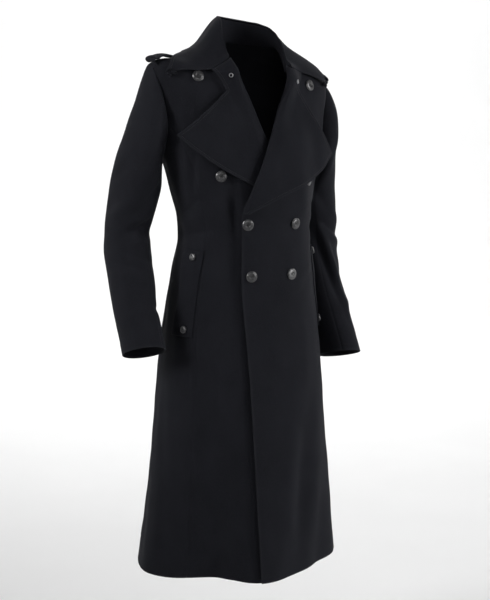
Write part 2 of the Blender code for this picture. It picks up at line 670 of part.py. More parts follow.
def cleared(points):
    """Points moved off the shoulders and chest, square to them, where they lie too close."""
    x, y = np.abs(points[..., 0]), points[..., 1]
    ground = shoulder_height(x, y)
    slope_x = (shoulder_height(x + SLOPE_STEP, y) - ground) / SLOPE_STEP
    slope_y = (shoulder_height(x, y + SLOPE_STEP) - ground) / SLOPE_STEP
    n = np.stack([-slope_x * np.sign(points[..., 0]), -slope_y, np.ones_like(x)], -1)
    n /= np.linalg.norm(n, axis=-1, keepdims=True)
    clear = COLLAR_CLEAR + neck_stand_off(x, ground)
    short = np.clip(clear - (points[..., 2] - ground) * n[..., 2], 0, None)
    return points + n * short[..., None]


def fall_skin(turn, share):
    """The collar's fall, from its fold (share 0) to its outer edge, with a soft crown between them."""
    seam, fold, edge, away = collar_lines(turn)
    start = fold + away * (CLOTH + SEAM_GAP)
    fall = start[:, None] + (edge - start)[:, None] * share
    up = COLLAR_CROWN_LEAN * (away + np.array((0, 0, 1.0)))
    crown = COLLAR_CROWN * (4 * share * (1 - share)) ** COLLAR_CROWN_POWER
    return posed(cleared(fall + up[:, None] * crown))


def collar_pieces():
    """The stand round the neck, and the fall turned down over it."""
    turn = np.linspace(-COLLAR_END, COLLAR_END, COLLAR_STEPS + 1)
    seam, fold, edge, away = collar_lines(turn)
    share = np.linspace(0, 1, 4)[None, :, None]
    stand = posed(seam[:, None] + (fold - seam)[:, None] * share)
    n = grid_normals(stand, away[:, None])
    wall("collar_stand", stand, stand - n * CLOTH)
    fall = fall_skin(turn, np.array(FALL_SHARES)[None, :, None])
    n = grid_normals(fall, (away + np.array((0, 0, 1.0)))[:, None])
    wall("collar_fall", fall, fall - n * CLOTH)


def epaulette(side, name):
    """A strap sewn in at the sleeve head, rolled back along the shoulder to under the collar."""
    share = np.array(STRAP_SHARES)
    seat_x = np.minimum(STRAP["x"](share), STRAP_SEAT_X)
    seat_z = shoulder_height(seat_x, STRAP_Y)
    middle_z = seat_z + (seat_x - STRAP["x"](share)) * STRAP_OVERHANG
    middle_z = middle_z + STRAP["rise"](share) + STRAP_LIFTS[side]
    line = np.stack([STRAP["x"](share), np.full_like(share, STRAP_Y), middle_z], -1)
    across = np.linspace(-0.5, 0.5, 5)
    strap = np.repeat(line[:, None], len(across), 1)
    strap[..., 1] += across[None, :] * STRAP["width"](share)[:, None]
    droop = shoulder_height(seat_x[:, None], strap[..., 1]) - seat_z[:, None]
    strap[..., 2] += STRAP_DROOP * droop
    tangent = np.gradient(line, axis=0)
    out = np.stack([tangent[:, 2], 0 * share, -tangent[:, 0]], -1)
    out /= np.linalg.norm(out, axis=-1, keepdims=True)
    top = strap + out[:, None] * STRAP_THICK / 2
    under = strap - out[:, None] * STRAP_THICK / 2
    for skin in (top, under):
        skin[..., 0] *= side
    return wall(name, posed(top), posed(under))


def welt(side, name):
    """A stitched-on strip behind the princess seam, its back edge standing off a little."""
    z = np.linspace(WELT_BOTTOM_Z, WELT_TOP_Z, WELT_STEPS + 1)[:, None]
    share = np.linspace(0, 1, 5)[None, :]
    middle = PRINCESS_TURN + np.radians(WELT_MIDDLE)
    step = 1e-3
    speed = np.linalg.norm(body_skin(side, middle + step, z) - body_skin(side, middle, z), axis=-1) / step
    up = (z - WELT_BOTTOM_Z) / (WELT_TOP_Z - WELT_BOTTOM_Z)
    turn = PRINCESS_TURN + np.radians(WELT_START + WELT_SLANT * (1 - up)) + share * WELT_WIDTH / speed
    lip = WELT_LIP_LIFT * share**2 * np.sin(math.pi * up)
    lift = WELT_LIFT + WELT_THICK + lip
    n = normals_of(lambda a, b: body_skin(side, a, b), turn, z + 0 * turn, side)
    skin = body_skin(side, turn, z + 0 * turn) + n * lift[..., None]
    return wall(name, skin, skin - n * WELT_THICK)


def seat(piece, origin, direction, radius):
    """Where a disc of this radius rests on a piece seen from origin: its middle and normal."""
    tree = BVHTree.FromObject(bpy.data.objects[piece], bpy.context.evaluated_depsgraph_get())
    direction = Vector(direction).normalized()
    hit, normal, _, _ = tree.ray_cast(Vector(origin), direction)
    side = normal.orthogonal().normalized()
    other = normal.cross(side)
    height = 0.0
    for k in range(24):
        angle = 2 * math.pi * k / 12
        reach = radius if k < 12 else radius / 2
        start = hit + reach * (math.cos(angle) * side + math.sin(angle) * other) + normal * 0.02
        near = tree.ray_cast(start, -normal)[0]
        if near is not None and (near - hit).length < 2 * radius:
            height = max(height, (near - hit).dot(normal))
    return hit + normal * (height + SEAM_GAP), normal


def add_button(name, piece, origin, direction, radius):
    """A round button with a sunk middle, seated on a piece of cloth."""
    middle, normal = seat(piece, origin, direction, radius)
    turn = Vector((0, 0, 1)).rotation_difference(normal).to_matrix()
    bm = bmesh.new()
    rings = []
    for outline in BUTTON_RINGS:
        ring = []
        reach, rise = outline.reach * radius, outline.rise * BUTTON_THICK
        for k in range(BUTTON_SIDES):
            angle = 2 * math.pi * k / BUTTON_SIDES
            flat = Vector((reach * math.cos(angle), reach * math.sin(angle), rise))
            ring.append(bm.verts.new(middle + turn @ flat))
        rings.append(ring)
    for lower, upper in zip(rings, rings[1:]):
        for k in range(BUTTON_SIDES):
            after = (k + 1) % BUTTON_SIDES
            bm.faces.new((lower[k], lower[after], upper[after], upper[k]))
    bm.faces.new(rings[0])
    bm.faces.new(rings[-1])
    return add_mesh(name, bm, "horn")


def add_hook(name, side, piece):
    """A small wire ring of the throat fastening, lying on the lapel beside the notch."""
    place = posed(np.array((side * HOOK_PLACES[side], 0.0, HOOK_Z)))
    middle, normal = seat(piece, (place[0], FRONT_Y, place[2]), (0, 1, 0), HOOK_RADIUS + HOOK_WIRE)
    turn = Vector((0, 0, 1)).rotation_difference(normal).to_matrix()
    bm = bmesh.new()
    rings = []
    for k in range(HOOK_SIDES):
        angle = 2 * math.pi * k / HOOK_SIDES
        ring = []
        for j in range(WIRE_SIDES):
            round_wire = 2 * math.pi * j / WIRE_SIDES
            reach = HOOK_RADIUS + HOOK_WIRE * math.cos(round_wire)
            rise = HOOK_WIRE * (1 + math.sin(round_wire))
            flat = Vector((reach * math.cos(angle), reach * math.sin(angle), rise))
            ring.append(bm.verts.new(middle + turn @ flat))
        rings.append(ring)
    for k in range(HOOK_SIDES):
        here, after = rings[k], rings[(k + 1) % HOOK_SIDES]
        for j in range(WIRE_SIDES):
            beside = (j + 1) % WIRE_SIDES
            bm.faces.new((here[j], here[beside], after[beside], after[j]))
    return add_mesh(name, bm, "steel")


def main():
    remove_objects()
    for side, word in ((1, "left"), (-1, "right")):
        front_panel(side, f"front_{word}")
        side_panel(side, f"side_{word}")
        back_panel(side, f"back_{word}")
        sleeve_piece(side, f"sleeve_upper_{word}", SLEEVE_BACK_SEAM - 360, SLEEVE_FRONT_SEAM)
        sleeve_piece(side, f"sleeve_under_{word}", SLEEVE_FRONT_SEAM, SLEEVE_BACK_SEAM)
        lapel(side, f"lapel_{word}")
        epaulette(side, f"epaulette_{word}")
        welt(side, f"pocket_welt_{word}")
    collar_pieces()
    for side, word in ((1, "left"), (-1, "right")):
        for row in BUTTON_ROWS:
            place = posed(np.array((side * row.x, 0.0, row.z)))
            piece = row.left_on if side > 0 else row.right_on
            front = (place[0], FRONT_Y, place[2])
            add_button(f"button_{row.word}_{word}", piece, front, (0, 1, 0), BUTTON_RADIUS)
        for end, z in POCKET_BUTTONS.items():
            skin = body_skin(side, PRINCESS_TURN + np.radians(POCKET_BUTTON_TURN), z)
            out = (skin[0] * SIDE_REACH, skin[1] * SIDE_REACH, skin[2])
            towards = (-skin[0], -skin[1], 0.0)
            name = f"button_pocket_{end}_{word}"
            add_button(name, f"pocket_welt_{word}", out, towards, POCKET_BUTTON_RADIUS)
        add_hook(f"throat_{'eye' if side > 0 else 'hook'}_{word}", side, f"lapel_{word}")


main()
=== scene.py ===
"""Looks of a long double-breasted wool coat: soft shells on the form of its panels, with rolled lapels,
listed creases, sewn edges, buttons and a throat fastening."""

import math
from collections import namedtuple

import bpy
import numpy as np
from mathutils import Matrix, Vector
from mathutils.bvhtree import BVHTree


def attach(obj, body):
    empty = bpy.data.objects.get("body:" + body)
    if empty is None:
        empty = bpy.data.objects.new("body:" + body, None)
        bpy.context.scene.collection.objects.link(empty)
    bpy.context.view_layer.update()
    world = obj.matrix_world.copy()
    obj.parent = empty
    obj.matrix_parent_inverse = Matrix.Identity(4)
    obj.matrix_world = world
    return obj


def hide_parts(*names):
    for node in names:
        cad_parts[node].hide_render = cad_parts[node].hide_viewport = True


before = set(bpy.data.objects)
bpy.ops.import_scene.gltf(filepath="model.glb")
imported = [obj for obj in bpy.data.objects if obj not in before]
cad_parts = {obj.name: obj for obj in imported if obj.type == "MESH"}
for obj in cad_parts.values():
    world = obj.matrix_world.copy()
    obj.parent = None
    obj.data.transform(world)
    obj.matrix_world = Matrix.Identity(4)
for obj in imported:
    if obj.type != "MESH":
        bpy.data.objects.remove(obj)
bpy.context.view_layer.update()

# Cloth: wall thickness of panels and of the doubled lapels and collar
CLOTH = 0.0024
DOUBLE_CLOTH = 0.0032
# Seams: their gap (below 0 the panels overlap), and the depth and half width of the dip along them
SEAM_GAP = -0.0001
SEAM_DIP = 0.0006
SEAM_WIDTH = 0.0022
# Gap under a piece that lies on another, and how far wear reaches in from a free edge
SEAT_GAP = 0.0003
WEAR_REACH = 0.004
# Limit of an edge's rounding
ROUND_LIMIT = 0.985

# Unevenness of hung cloth: height on each kind of piece, seeds, number, grain and lengths of its waves
RIPPLE = 0.0011
LAPEL_RIPPLE = 0.0008
COLLAR_RIPPLE = 0.0009
RIPPLE_SEEDS = {"body": 3, "sleeve": 5, "lapel": 11, "collar": 17}
RIPPLE_WAVES = 14
RIPPLE_GRAIN = (1.0, 1.0, 0.55)
RIPPLE_LENGTHS = (0.045, 0.16)
# About the usual length of a wave's direction, and the root of the number of waves
RIPPLE_DIRECTION = 1.6
RIPPLE_SUM = 3.7

# Heights below the neck seam
HEM_Z = -1.110
BREAK_Z = -0.363
ARMPIT_Z = -0.232
SHOULDER_Z = -0.072
NECK_Z = -0.004
ARMHOLE_MIDDLE = (SHOULDER_Z + ARMPIT_Z) / 2
ARMHOLE_HALF = (SHOULDER_Z - ARMPIT_Z) / 2

# Turned-up hem and cuffs: their depth, and the depth and half width of the faint line where they end
HEM_TURN_UP = 0.045
HEM_DIP = 0.0005
CUFF_TURN_UP = 0.035
CUFF_DIP = 0.0004
TURN_UP_LINE = 0.004

# Turns run from centre front (0) to centre back (180 degrees); phi runs round the armhole from its top
ARMHOLE_FRONT = 18.0
ARMHOLE_BACK = 36.0
PRINCESS_LOW = 58.8
PRINCESS_CURVE = 6
PRINCESS_TURN = math.radians(PRINCESS_LOW)
PRINCESS_PHI = 120
SIDE_PHI = 200
NARROWEST_FRONT = 4.0
# The body's mean radius, which makes a turn a distance round it
BODY_RADIUS = 0.17

# How far the left front lies over the right one and over the right lapel, and the right one sinks under it,
# with the distances from the centre and the heights between which each comes or goes
OVER_LIFT = 0.0042
OVER_LAPEL_LIFT = 0.0142
OVER_FADE = (0.070, 0.135)
OVER_LAPEL_START = (BREAK_Z - 0.02, BREAK_Z + 0.03)
OVER_LAPEL_END = (-0.20, -0.13)
UNDER_SINK = 0.0055
UNDER_FADE = (0.055, 0.125)
UNDER_END = (-0.25, -0.20)

Stance = namedtuple("Stance", "z tilt shift")
STANCE = (
    Stance(-1.20, 0.000, 0.000),
    Stance(-0.52, 0.000, 0.000),
    Stance(-0.40, 0.008, 0.002),
    Stance(-0.25, 0.085, -0.004),
    Stance(-0.06, 0.085, -0.009),
    Stance(0.04, 0.140, -0.009),
)

# The raised right shoulder runs flatter to the neck: how far it sinks there, and between which distances
# from the centre and heights the sinking comes and goes
SAG_DEPTH = 0.026
SAG_START = (0.050, 0.116)
SAG_END = (0.130, 0.215)
SAG_HEIGHT = (-0.100, -0.030)

Section = namedtuple("Section", "z half_width front back centre_y power")
BODY_SECTIONS = (
    Section(-1.110, 0.205, 0.210, 0.215, 0.022, 2.1),
    Section(-0.850, 0.187, 0.178, 0.184, 0.017, 2.1),
    Section(-0.620, 0.172, 0.144, 0.150, 0.011, 2.2),
    Section(-0.500, 0.158, 0.123, 0.124, 0.006, 2.2),
    Section(-0.395, 0.145, 0.120, 0.106, 0.002, 2.2),
    Section(-0.300, 0.164, 0.119, 0.114, 0.006, 2.2),
    Section(-0.220, 0.186, 0.116, 0.124, 0.010, 2.2),
    Section(-0.150, 0.200, 0.106, 0.126, 0.010, 2.2),
    Section(-0.110, 0.2065, 0.097, 0.122, 0.007, 2.2),
    Section(-0.090, 0.2090, 0.089, 0.117, 0.005, 2.2),
    Section(-0.072, 0.2060, 0.080, 0.110, 0.002, 2.2),
    Section(-0.060, 0.1930, 0.0745, 0.1025, 0.000, 2.15),
    Section(-0.048, 0.176, 0.069, 0.095, -0.002, 2.1),
    Section(-0.026, 0.134, 0.058, 0.080, -0.006, 2.0),
    Section(-0.010, 0.096, 0.052, 0.066, -0.010, 2.0),
    Section(0.000, 0.074, 0.048, 0.058, -0.014, 2.0),
)

# Where a front ends across the chest: its edge, then from the break up the lapel's fold
Roll = namedtuple("Roll", "z x")
ROLL = (
    Roll(-1.110, -0.066),
    Roll(-0.750, -0.063),
    Roll(-0.480, -0.067),
    Roll(-0.363, -0.067),
    Roll(-0.311, -0.046),
    Roll(-0.256, -0.019),
    Roll(-0.205, 0.002),
    Roll(-0.160, 0.022),
    Roll(-0.130, 0.036),
    Roll(-0.090, 0.056),
    Roll(-0.050, 0.074),
    Roll(0.000, 0.079),
)

# Soft flutes of the skirt: place round the hem (left is positive), depth at the hem, half width, top
Fold = namedtuple("Fold", "turn depth spread top")
SKIRT_FOLDS = (
    Fold(-18.0, 0.030, 15.0, -0.62),
    Fold(28.0, -0.020, 15.0, -0.62),
    Fold(66.0, 0.004, 12.0, -0.60),
    Fold(-47.0, -0.018, 14.0, -0.66),
    Fold(-78.0, 0.048, 25.0, -0.56),
    Fold(-128.0, -0.010, 16.0, -0.60),
    Fold(-158.0, 0.016, 15.0, -0.52),
    Fold(152.0, 0.018, 17.0, -0.52),
    Fold(112.0, 0.012, 15.0, -0.58),
)
FOLD_GROWTH = 1.4

# Sleeves: outer and inner points across, the middle fore and aft, and the half depth, from armhole to cuff
SleeveSection = namedtuple("SleeveSection", "share outer_x outer_z inner_x inner_z middle_y half_depth")
SLEEVES = {
    1: (
        SleeveSection(0.00, 0.211, -0.072, 0.188, -0.232, 0.008, 0.072),
        SleeveSection(0.05, 0.242, -0.079, 0.192, -0.238, 0.010, 0.080),
        SleeveSection(0.11, 0.242, -0.120, 0.186, -0.246, 0.023, 0.068),
        SleeveSection(0.19, 0.250, -0.180, 0.176, -0.262, 0.037, 0.064),
        SleeveSection(0.33, 0.268, -0.293, 0.164, -0.309, 0.060, 0.061),
        SleeveSection(0.50, 0.280, -0.395, 0.186, -0.401, 0.078, 0.057),
        SleeveSection(0.62, 0.276, -0.459, 0.182, -0.463, 0.062, 0.057),
        SleeveSection(0.75, 0.273, -0.540, 0.182, -0.544, 0.027, 0.056),
        SleeveSection(0.86, 0.276, -0.590, 0.187, -0.590, 0.006, 0.056),
        SleeveSection(1.00, 0.287, -0.667, 0.199, -0.667, -0.018, 0.055),
    ),
    -1: (
        SleeveSection(0.00, 0.211, -0.072, 0.188, -0.232, 0.008, 0.072),
        SleeveSection(0.05, 0.211, -0.086, 0.190, -0.238, 0.012, 0.071),
        SleeveSection(0.11, 0.214, -0.124, 0.190, -0.246, 0.020, 0.068),
        SleeveSection(0.19, 0.231, -0.182, 0.184, -0.262, 0.032, 0.065),
        SleeveSection(0.33, 0.270, -0.296, 0.172, -0.314, 0.050, 0.062),
        SleeveSection(0.52, 0.282, -0.424, 0.191, -0.430, 0.070, 0.058),
        SleeveSection(0.62, 0.288, -0.483, 0.190, -0.487, 0.055, 0.058),
        SleeveSection(0.74, 0.287, -0.546, 0.195, -0.550, 0.030, 0.057),
        SleeveSection(0.86, 0.286, -0.593, 0.199, -0.593, 0.010, 0.056),
        SleeveSection(1.00, 0.285, -0.663, 0.197, -0.663, -0.018, 0.055),
    ),
}
ARM_TILT = 0.085
ARM_LENGTH = 0.62
ARM_RADIUS = 0.055
SLEEVE_BLEND = 0.14
SLEEVE_START = 0.004
# A sleeve's seam overlaps the body, whose creases die away within this share of the armhole's size
SLEEVE_GAP = -0.0012
CALM_REACH = 1.35
SLEEVE_STEP = 0.06
# Shares of a sleeve over which its creases come in below the armhole and weaken at the cuff
SLEEVE_CREASE_START = (0.0, 0.10)
SLEEVE_CREASE_END = (0.90, 1.0)
CUFF_CALM = 0.6
SLEEVE_FRONT_SEAM = 120
SLEEVE_BACK_SEAM = 240

# Lapel corners, across and up on the chest: tip, notch, gorge end and top of the fold
LAPEL_TIPS = {1: (0.183, -0.223), -1: (0.189, -0.212)}
LAPEL_NOTCHES = {1: (0.083, -0.093), -1: (0.082, -0.114)}
LAPEL_TOP = (0.100, -0.0600)
LAPEL_BELLIES = {1: (0.017, 2.0), -1: (0.010, 1.3)}
GORGE_SHARE = 0.26
LAPEL_FOLD_TOP_Z = -0.0500
LAPEL_SPREAD = 0.036
LAPEL_SPREAD_SPAN = (0.05, 0.15)
LAPEL_BASE_LIFT = 0.0042
LAPEL_ROLL_LIFT = 0.0044
LAPEL_EDGE_LIFT = 0.0022
LAPEL_ROLL_SPAN = (0.0, 0.15)
LAPEL_EDGE_SPAN = (0.5, 1.0)
LAPEL_TOP_LIFTS = {1: 0.0024, -1: 0.0008}
LAPEL_TOP_SPAN = (-0.13, -0.08)
LAPEL_STARTS = {1: (0.015, 0.030), -1: (0.330, 0.330)}
# Shares of the outline at the break, tip, notch and gorge end, its rough length, and the gorge's blend
LAPEL_LEGS = (0.0, 5 / 11, 9 / 11, 1.0)
LAPEL_LENGTH = 0.30
GORGE_BLEND = 0.12
# How the fold stands off the chest near the neck: its height, and where this comes and goes
LAPEL_NECK_LIFT = 0.012
NECK_LIFT_START = (-0.20, -0.09)
NECK_LIFT_END = (-0.080, -0.050)
NECK_LIFT_FADE = (0.006, 0.040)
# Thickness of a soft roll as a share of its radius, and how fast it grows past the roll
LAPEL_ROLL_THICK = 0.6
COLLAR_ROLL_THICK = 0.55
ROLL_GROWTH = 0.03

# Collar: from centre back to the front end, the neck seam, the fold and the outer edge
CollarSection = namedtuple(
    "CollarSection", "turn seam_x seam_y seam_z fold_x fold_y fold_z edge_x edge_y edge_z"
)
COLLAR_SECTIONS = (
    CollarSection(0, 0.000, 0.046, 0.003, 0.000, 0.040, 0.041, 0.000, 0.096, -0.032),
    CollarSection(45, 0.050, 0.027, 0.003, 0.041, 0.021, 0.039, 0.082, 0.068, -0.034),
    CollarSection(90, 0.073, -0.014, 0.000, 0.059, -0.022, 0.030, 0.124, 0.004, -0.036),
    CollarSection(130, 0.075, -0.047, -0.022, 0.071, -0.053, -0.001, 0.164, -0.026, -0.066),
    CollarSection(165, 0.072, -0.071, -0.053, 0.071, -0.078, -0.047, 0.190, -0.046, -0.088),
)
COLLAR_END = 165
COLLAR_LEAN = 0.035
COLLAR_LEAN_SPAN = (90, 140)
COLLAR_DROP = 0.011
COLLAR_DROP_SPAN = (105, COLLAR_END)
STAND_SPAN = (-0.25, 0.95)
STAND_HEIGHT = 0.045
COLLAR_DEGREE = 0.0016
COLLAR_CROWN = 0.004
CROWN_LEAN = 0.7
CROWN_POWER = 0.75
FOLD_LEAN = 0.3
COLLAR_CLEAR = 0.0100
CLEAR_STEP = 0.004
CLEAR_SOFT = 0.002
CLEAR_LIMIT = 20

# Epaulette: across, height above the shoulder, and width, from the sleeve seam to under the collar
StrapSection = namedtuple("StrapSection", "share x rise width")
STRAP_SECTIONS = (
    StrapSection(0.00, 0.2010, 0.0014, 0.036),
    StrapSection(0.05, 0.2065, 0.0035, 0.037),
    StrapSection(0.12, 0.2095, 0.0085, 0.038),
    StrapSection(0.20, 0.2035, 0.0125, 0.038),
    StrapSection(0.40, 0.1860, 0.0110, 0.038),
    StrapSection(0.65, 0.1600, 0.0056, 0.037),
    StrapSection(0.85, 0.1400, 0.0038, 0.036),
    StrapSection(1.00, 0.1240, 0.0030, 0.035),
)
STRAP_DROOP = 0.95
STRAP_OVERHANG = 0.3
STRAP_LENGTH = 0.11
STRAP_INNER = (0.04, 0.96)
STRAP_MEAN_WIDTH = 0.037
STRAP_SEAT_X = 0.198
STRAP_THICK = 0.0032
STRAP_Y = -0.002
STRAP_LIFTS = {1: 0.0001, -1: -0.0006}

# Pocket welts behind the princess seams
WELT_TOP_Z = -0.434
WELT_BOTTOM_Z = -0.612
WELT_SLANT = 3.5
WELT_WIDTH = 0.056
WELT_START_TURN = 0.3
WELT_MIDDLE_TURN = 8.0
WELT_BOW = 0.24
WELT_BOW_POWER = 1.5
WELT_LIFT = 0.0006
WELT_LIP_LIFT = 0.0055
WELT_FOOT_LIFT = 0.0012
WELT_FOOT_SPAN = (0.0, 0.10)
WELT_THICK = 0.0034
WELT_SEWN_SHARE = 0.4
WELT_SEWN_FRONT = (0.0, 0.35)
WELT_SEWN_TOP = (0.0, 0.08)
WELT_WEAR = 0.6
WELT_FACING = -0.5
TURN_STEP = 1e-3

# Buttons: radius, thickness, and places across and up
BUTTON_RADIUS = 0.0118
POCKET_BUTTON_RADIUS = 0.0078
BUTTON_THICK = 0.0042
# A button's face in shares of its radius and thickness: crown, rim, rings, well and holes
BUTTON_CROWN = 0.04
RIM_SPAN = (0.74, 1.0)
RIM_DROP = 0.42
RIM_POWER = 1.6
Ring = namedtuple("Ring", "place width height")
BUTTON_RINGS = (Ring(0.74, 0.045, -0.10), Ring(0.52, 0.20, 0.06))
WELL_SPAN = (0.32, 0.46)
WELL_DEPTH = 0.36
HOLE_COUNT = 4
HOLE_TURN = 45
HOLE_PLACE = 0.135
HOLE_SPAN = (0.040, 0.075)
HOLE_DEPTH = 0.42
# Where its rings of points lie on the face, and on the underside from the rim in
FaceRun = namedtuple("FaceRun", "start end count")
BUTTON_FACE = (FaceRun(0.02, 0.48, 28), FaceRun(0.52, 0.84, 8), FaceRun(0.87, 1.0, 8))
Under = namedtuple("Under", "share height")
BUTTON_UNDERSIDE = (
    Under(1.0, 0.45), Under(0.97, 0.22), Under(0.90, 0.05), Under(0.80, 0.0), Under(0.30, 0.0),
)
BUTTON_SIDES = 64
# The thread's two crossed bars: the well's floor, half length, radius, arch, rise of the upper one, sunk ends
WELL_FLOOR = 0.66
BAR_REACH = 0.15
BAR_RADIUS = 0.036
BAR_ARCH = 0.05
BAR_STACK = 0.03
BAR_SINK = 0.05
BAR_RINGS = 9
BAR_SIDES = 8
ButtonPlace = namedtuple("ButtonPlace", "name x z carrier")
BUTTON_PLACES = (
    ButtonPlace("shoulder_left", 0.131, -0.085, "front_left"),
    ButtonPlace("shoulder_right", -0.134, -0.088, "front_right"),
    ButtonPlace("chest_left", 0.098, -0.285, "front_left"),
    ButtonPlace("chest_right", -0.101, -0.287, "front_right"),
    ButtonPlace("waist_left", 0.057, -0.380, "front_left"),
    ButtonPlace("waist_right", -0.057, -0.380, "front_left"),
    ButtonPlace("hip_left", 0.048, -0.486, "front_left"),
    ButtonPlace("hip_right", -0.048, -0.486, "front_left"),
)
POCKET_BUTTONS = {"top": -0.448, "bottom": -0.597}
POCKET_BUTTON_TURN = 11.4
# How far out of the coat the line of sight to a button starts: in front, and as a share on the sides
SIGHT_START = -1.0
SIDE_SIGHT = 8
HOOK_PLACES = {1: 0.081, -1: 0.076}
HOOK_Z = -0.082
HOOK_RADIUS = 0.0036
HOOK_WIRE = 0.0009
HOOK_RINGS = 36
HOOK_SIDES = 10

# Heights between which the body's creases die away under the arms
CREASE_TOP = (-0.21, -0.16)
# Creases: place, direction (0 runs along the piece), half length, half width, and depth (troughs negative)
Crease = namedtuple("Crease", "along across angle length width depth")
# On the body: height, distance round from centre front (left positive)
BODY_CREASES = (
    Crease(-0.400, -0.215, 82, 0.060, 0.011, -0.0040),
    Crease(-0.372, -0.230, 80, 0.055, 0.013, 0.0034),
    Crease(-0.345, -0.205, 70, 0.045, 0.010, -0.0028),
    Crease(-0.425, -0.200, 96, 0.050, 0.012, 0.0024),
    Crease(-0.402, 0.215, 100, 0.060, 0.011, -0.0040),
    Crease(-0.374, 0.230, 97, 0.055, 0.013, 0.0030),
    Crease(-0.350, 0.200, 110, 0.045, 0.010, -0.0024),
    Crease(-0.275, -0.170, 28, 0.050, 0.010, -0.0030),
    Crease(-0.265, -0.195, 18, 0.045, 0.012, 0.0026),
    Crease(-0.280, 0.172, -26, 0.045, 0.010, -0.0028),
    Crease(-0.390, 0.100, 84, 0.050, 0.010, -0.0016),
    Crease(-0.398, -0.105, 100, 0.045, 0.012, -0.0018),
    Crease(-0.505, 0.110, 60, 0.060, 0.014, -0.0016),
    Crease(-0.365, 0.420, 92, 0.075, 0.012, -0.0036),
    Crease(-0.392, 0.455, 86, 0.090, 0.013, 0.0030),
    Crease(-0.418, 0.430, 95, 0.070, 0.012, -0.0028),
    Crease(-0.370, -0.430, 86, 0.080, 0.012, -0.0034),
    Crease(-0.396, -0.465, 94, 0.085, 0.013, 0.0032),
    Crease(-0.422, -0.425, 88, 0.070, 0.011, -0.0026),
    Crease(-0.235, 0.345, 22, 0.060, 0.013, -0.0036),
    Crease(-0.240, -0.348, -20, 0.065, 0.013, -0.0034),
    Crease(-0.225, 0.385, 14, 0.060, 0.015, 0.0028),
    Crease(-0.228, -0.390, -16, 0.055, 0.015, 0.0026),
    Crease(-0.965, 0.040, 9, 0.150, 0.021, -0.0080),
    Crease(-0.960, 0.002, 9, 0.150, 0.020, 0.0040),
    Crease(-0.970, 0.088, 6, 0.140, 0.022, 0.0060),
    Crease(-0.340, -0.086, 6, 0.060, 0.0150, -0.0075),
    Crease(-0.560, -0.088, 0, 0.170, 0.0180, -0.0045),
    Crease(-0.900, -0.100, -6, 0.170, 0.028, -0.0050),
    Crease(-0.940, -0.160, -8, 0.150, 0.028, 0.0050),
    Crease(-0.960, -0.215, -6, 0.150, 0.026, -0.0050),
    Crease(-0.930, 0.430, 5, 0.160, 0.026, -0.0060),
    Crease(-0.900, 0.495, -3, 0.180, 0.024, 0.0040),
    Crease(-0.950, -0.440, -4, 0.150, 0.028, -0.0055),
)
# On a sleeve: distance from the armhole, degrees round it (0 outside, 90 in front, 180 inside)
SLEEVE_CREASES = {
    -1: (
        Crease(0.299, 92, -60, 0.036, 0.0120, -0.0100),
        Crease(0.306, 116, -84, 0.024, 0.0180, -0.0090),
        Crease(0.258, 45, -47, 0.040, 0.0135, 0.0058),
        Crease(0.345, 92, -76, 0.040, 0.0140, 0.0060),
        Crease(0.385, 112, -98, 0.034, 0.0110, -0.0030),
        Crease(0.405, 46, 63, 0.034, 0.0120, -0.0040),
        Crease(0.432, 84, 70, 0.036, 0.0150, 0.0032),
        Crease(0.228, 104, -38, 0.042, 0.0120, -0.0054),
        Crease(0.196, 70, -30, 0.048, 0.0150, 0.0034),
        Crease(0.205, 14, -52, 0.030, 0.0100, -0.0028),
        Crease(0.172, 20, -60, 0.026, 0.0100, 0.0024),
        Crease(0.262, 8, -70, 0.026, 0.0095, -0.0030),
        Crease(0.315, 12, -80, 0.028, 0.0100, -0.0026),
        Crease(0.130, 118, 20, 0.050, 0.0130, -0.0052),
        Crease(0.120, 90, 16, 0.055, 0.0160, 0.0030),
        Crease(0.075, 62, 14, 0.045, 0.0140, -0.0022),
        Crease(0.300, 230, 96, 0.055, 0.0130, -0.0050),
        Crease(0.262, 250, 84, 0.050, 0.0150, 0.0040),
        Crease(0.345, 260, 98, 0.050, 0.0140, -0.0036),
        Crease(0.110, 262, -18, 0.055, 0.0140, -0.0050),
        Crease(0.150, 296, -24, 0.050, 0.0160, 0.0026),
        Crease(0.520, 150, 84, 0.040, 0.0120, -0.0026),
        Crease(0.545, 40, 98, 0.050, 0.0160, 0.0018),
    ),
    1: (
        Crease(0.405, 86, -11, 0.105, 0.0105, 0.0070),
        Crease(0.400, 108, -11, 0.100, 0.0120, -0.0080),
        Crease(0.300, 74, -58, 0.045, 0.0125, -0.0062),
        Crease(0.262, 60, -48, 0.050, 0.0150, 0.0040),
        Crease(0.345, 48, -66, 0.045, 0.0140, 0.0034),
        Crease(0.440, 50, 40, 0.050, 0.0150, -0.0034),
        Crease(0.500, 44, 60, 0.045, 0.0150, 0.0026),
        Crease(0.220, 100, -34, 0.050, 0.0130, -0.0046),
        Crease(0.130, 118, 20, 0.050, 0.0140, -0.0048),
        Crease(0.122, 90, 16, 0.055, 0.0160, 0.0028),
        Crease(0.295, 232, 94, 0.055, 0.0130, -0.0052),
        Crease(0.258, 250, 86, 0.050, 0.0150, 0.0040),
        Crease(0.340, 262, 100, 0.050, 0.0140, -0.0036),
        Crease(0.115, 262, -18, 0.055, 0.0140, -0.0048),
        Crease(0.160, 296, -24, 0.050, 0.0160, 0.0026),
        Crease(0.530, 300, 86, 0.050, 0.0140, -0.0022),
    ),
}

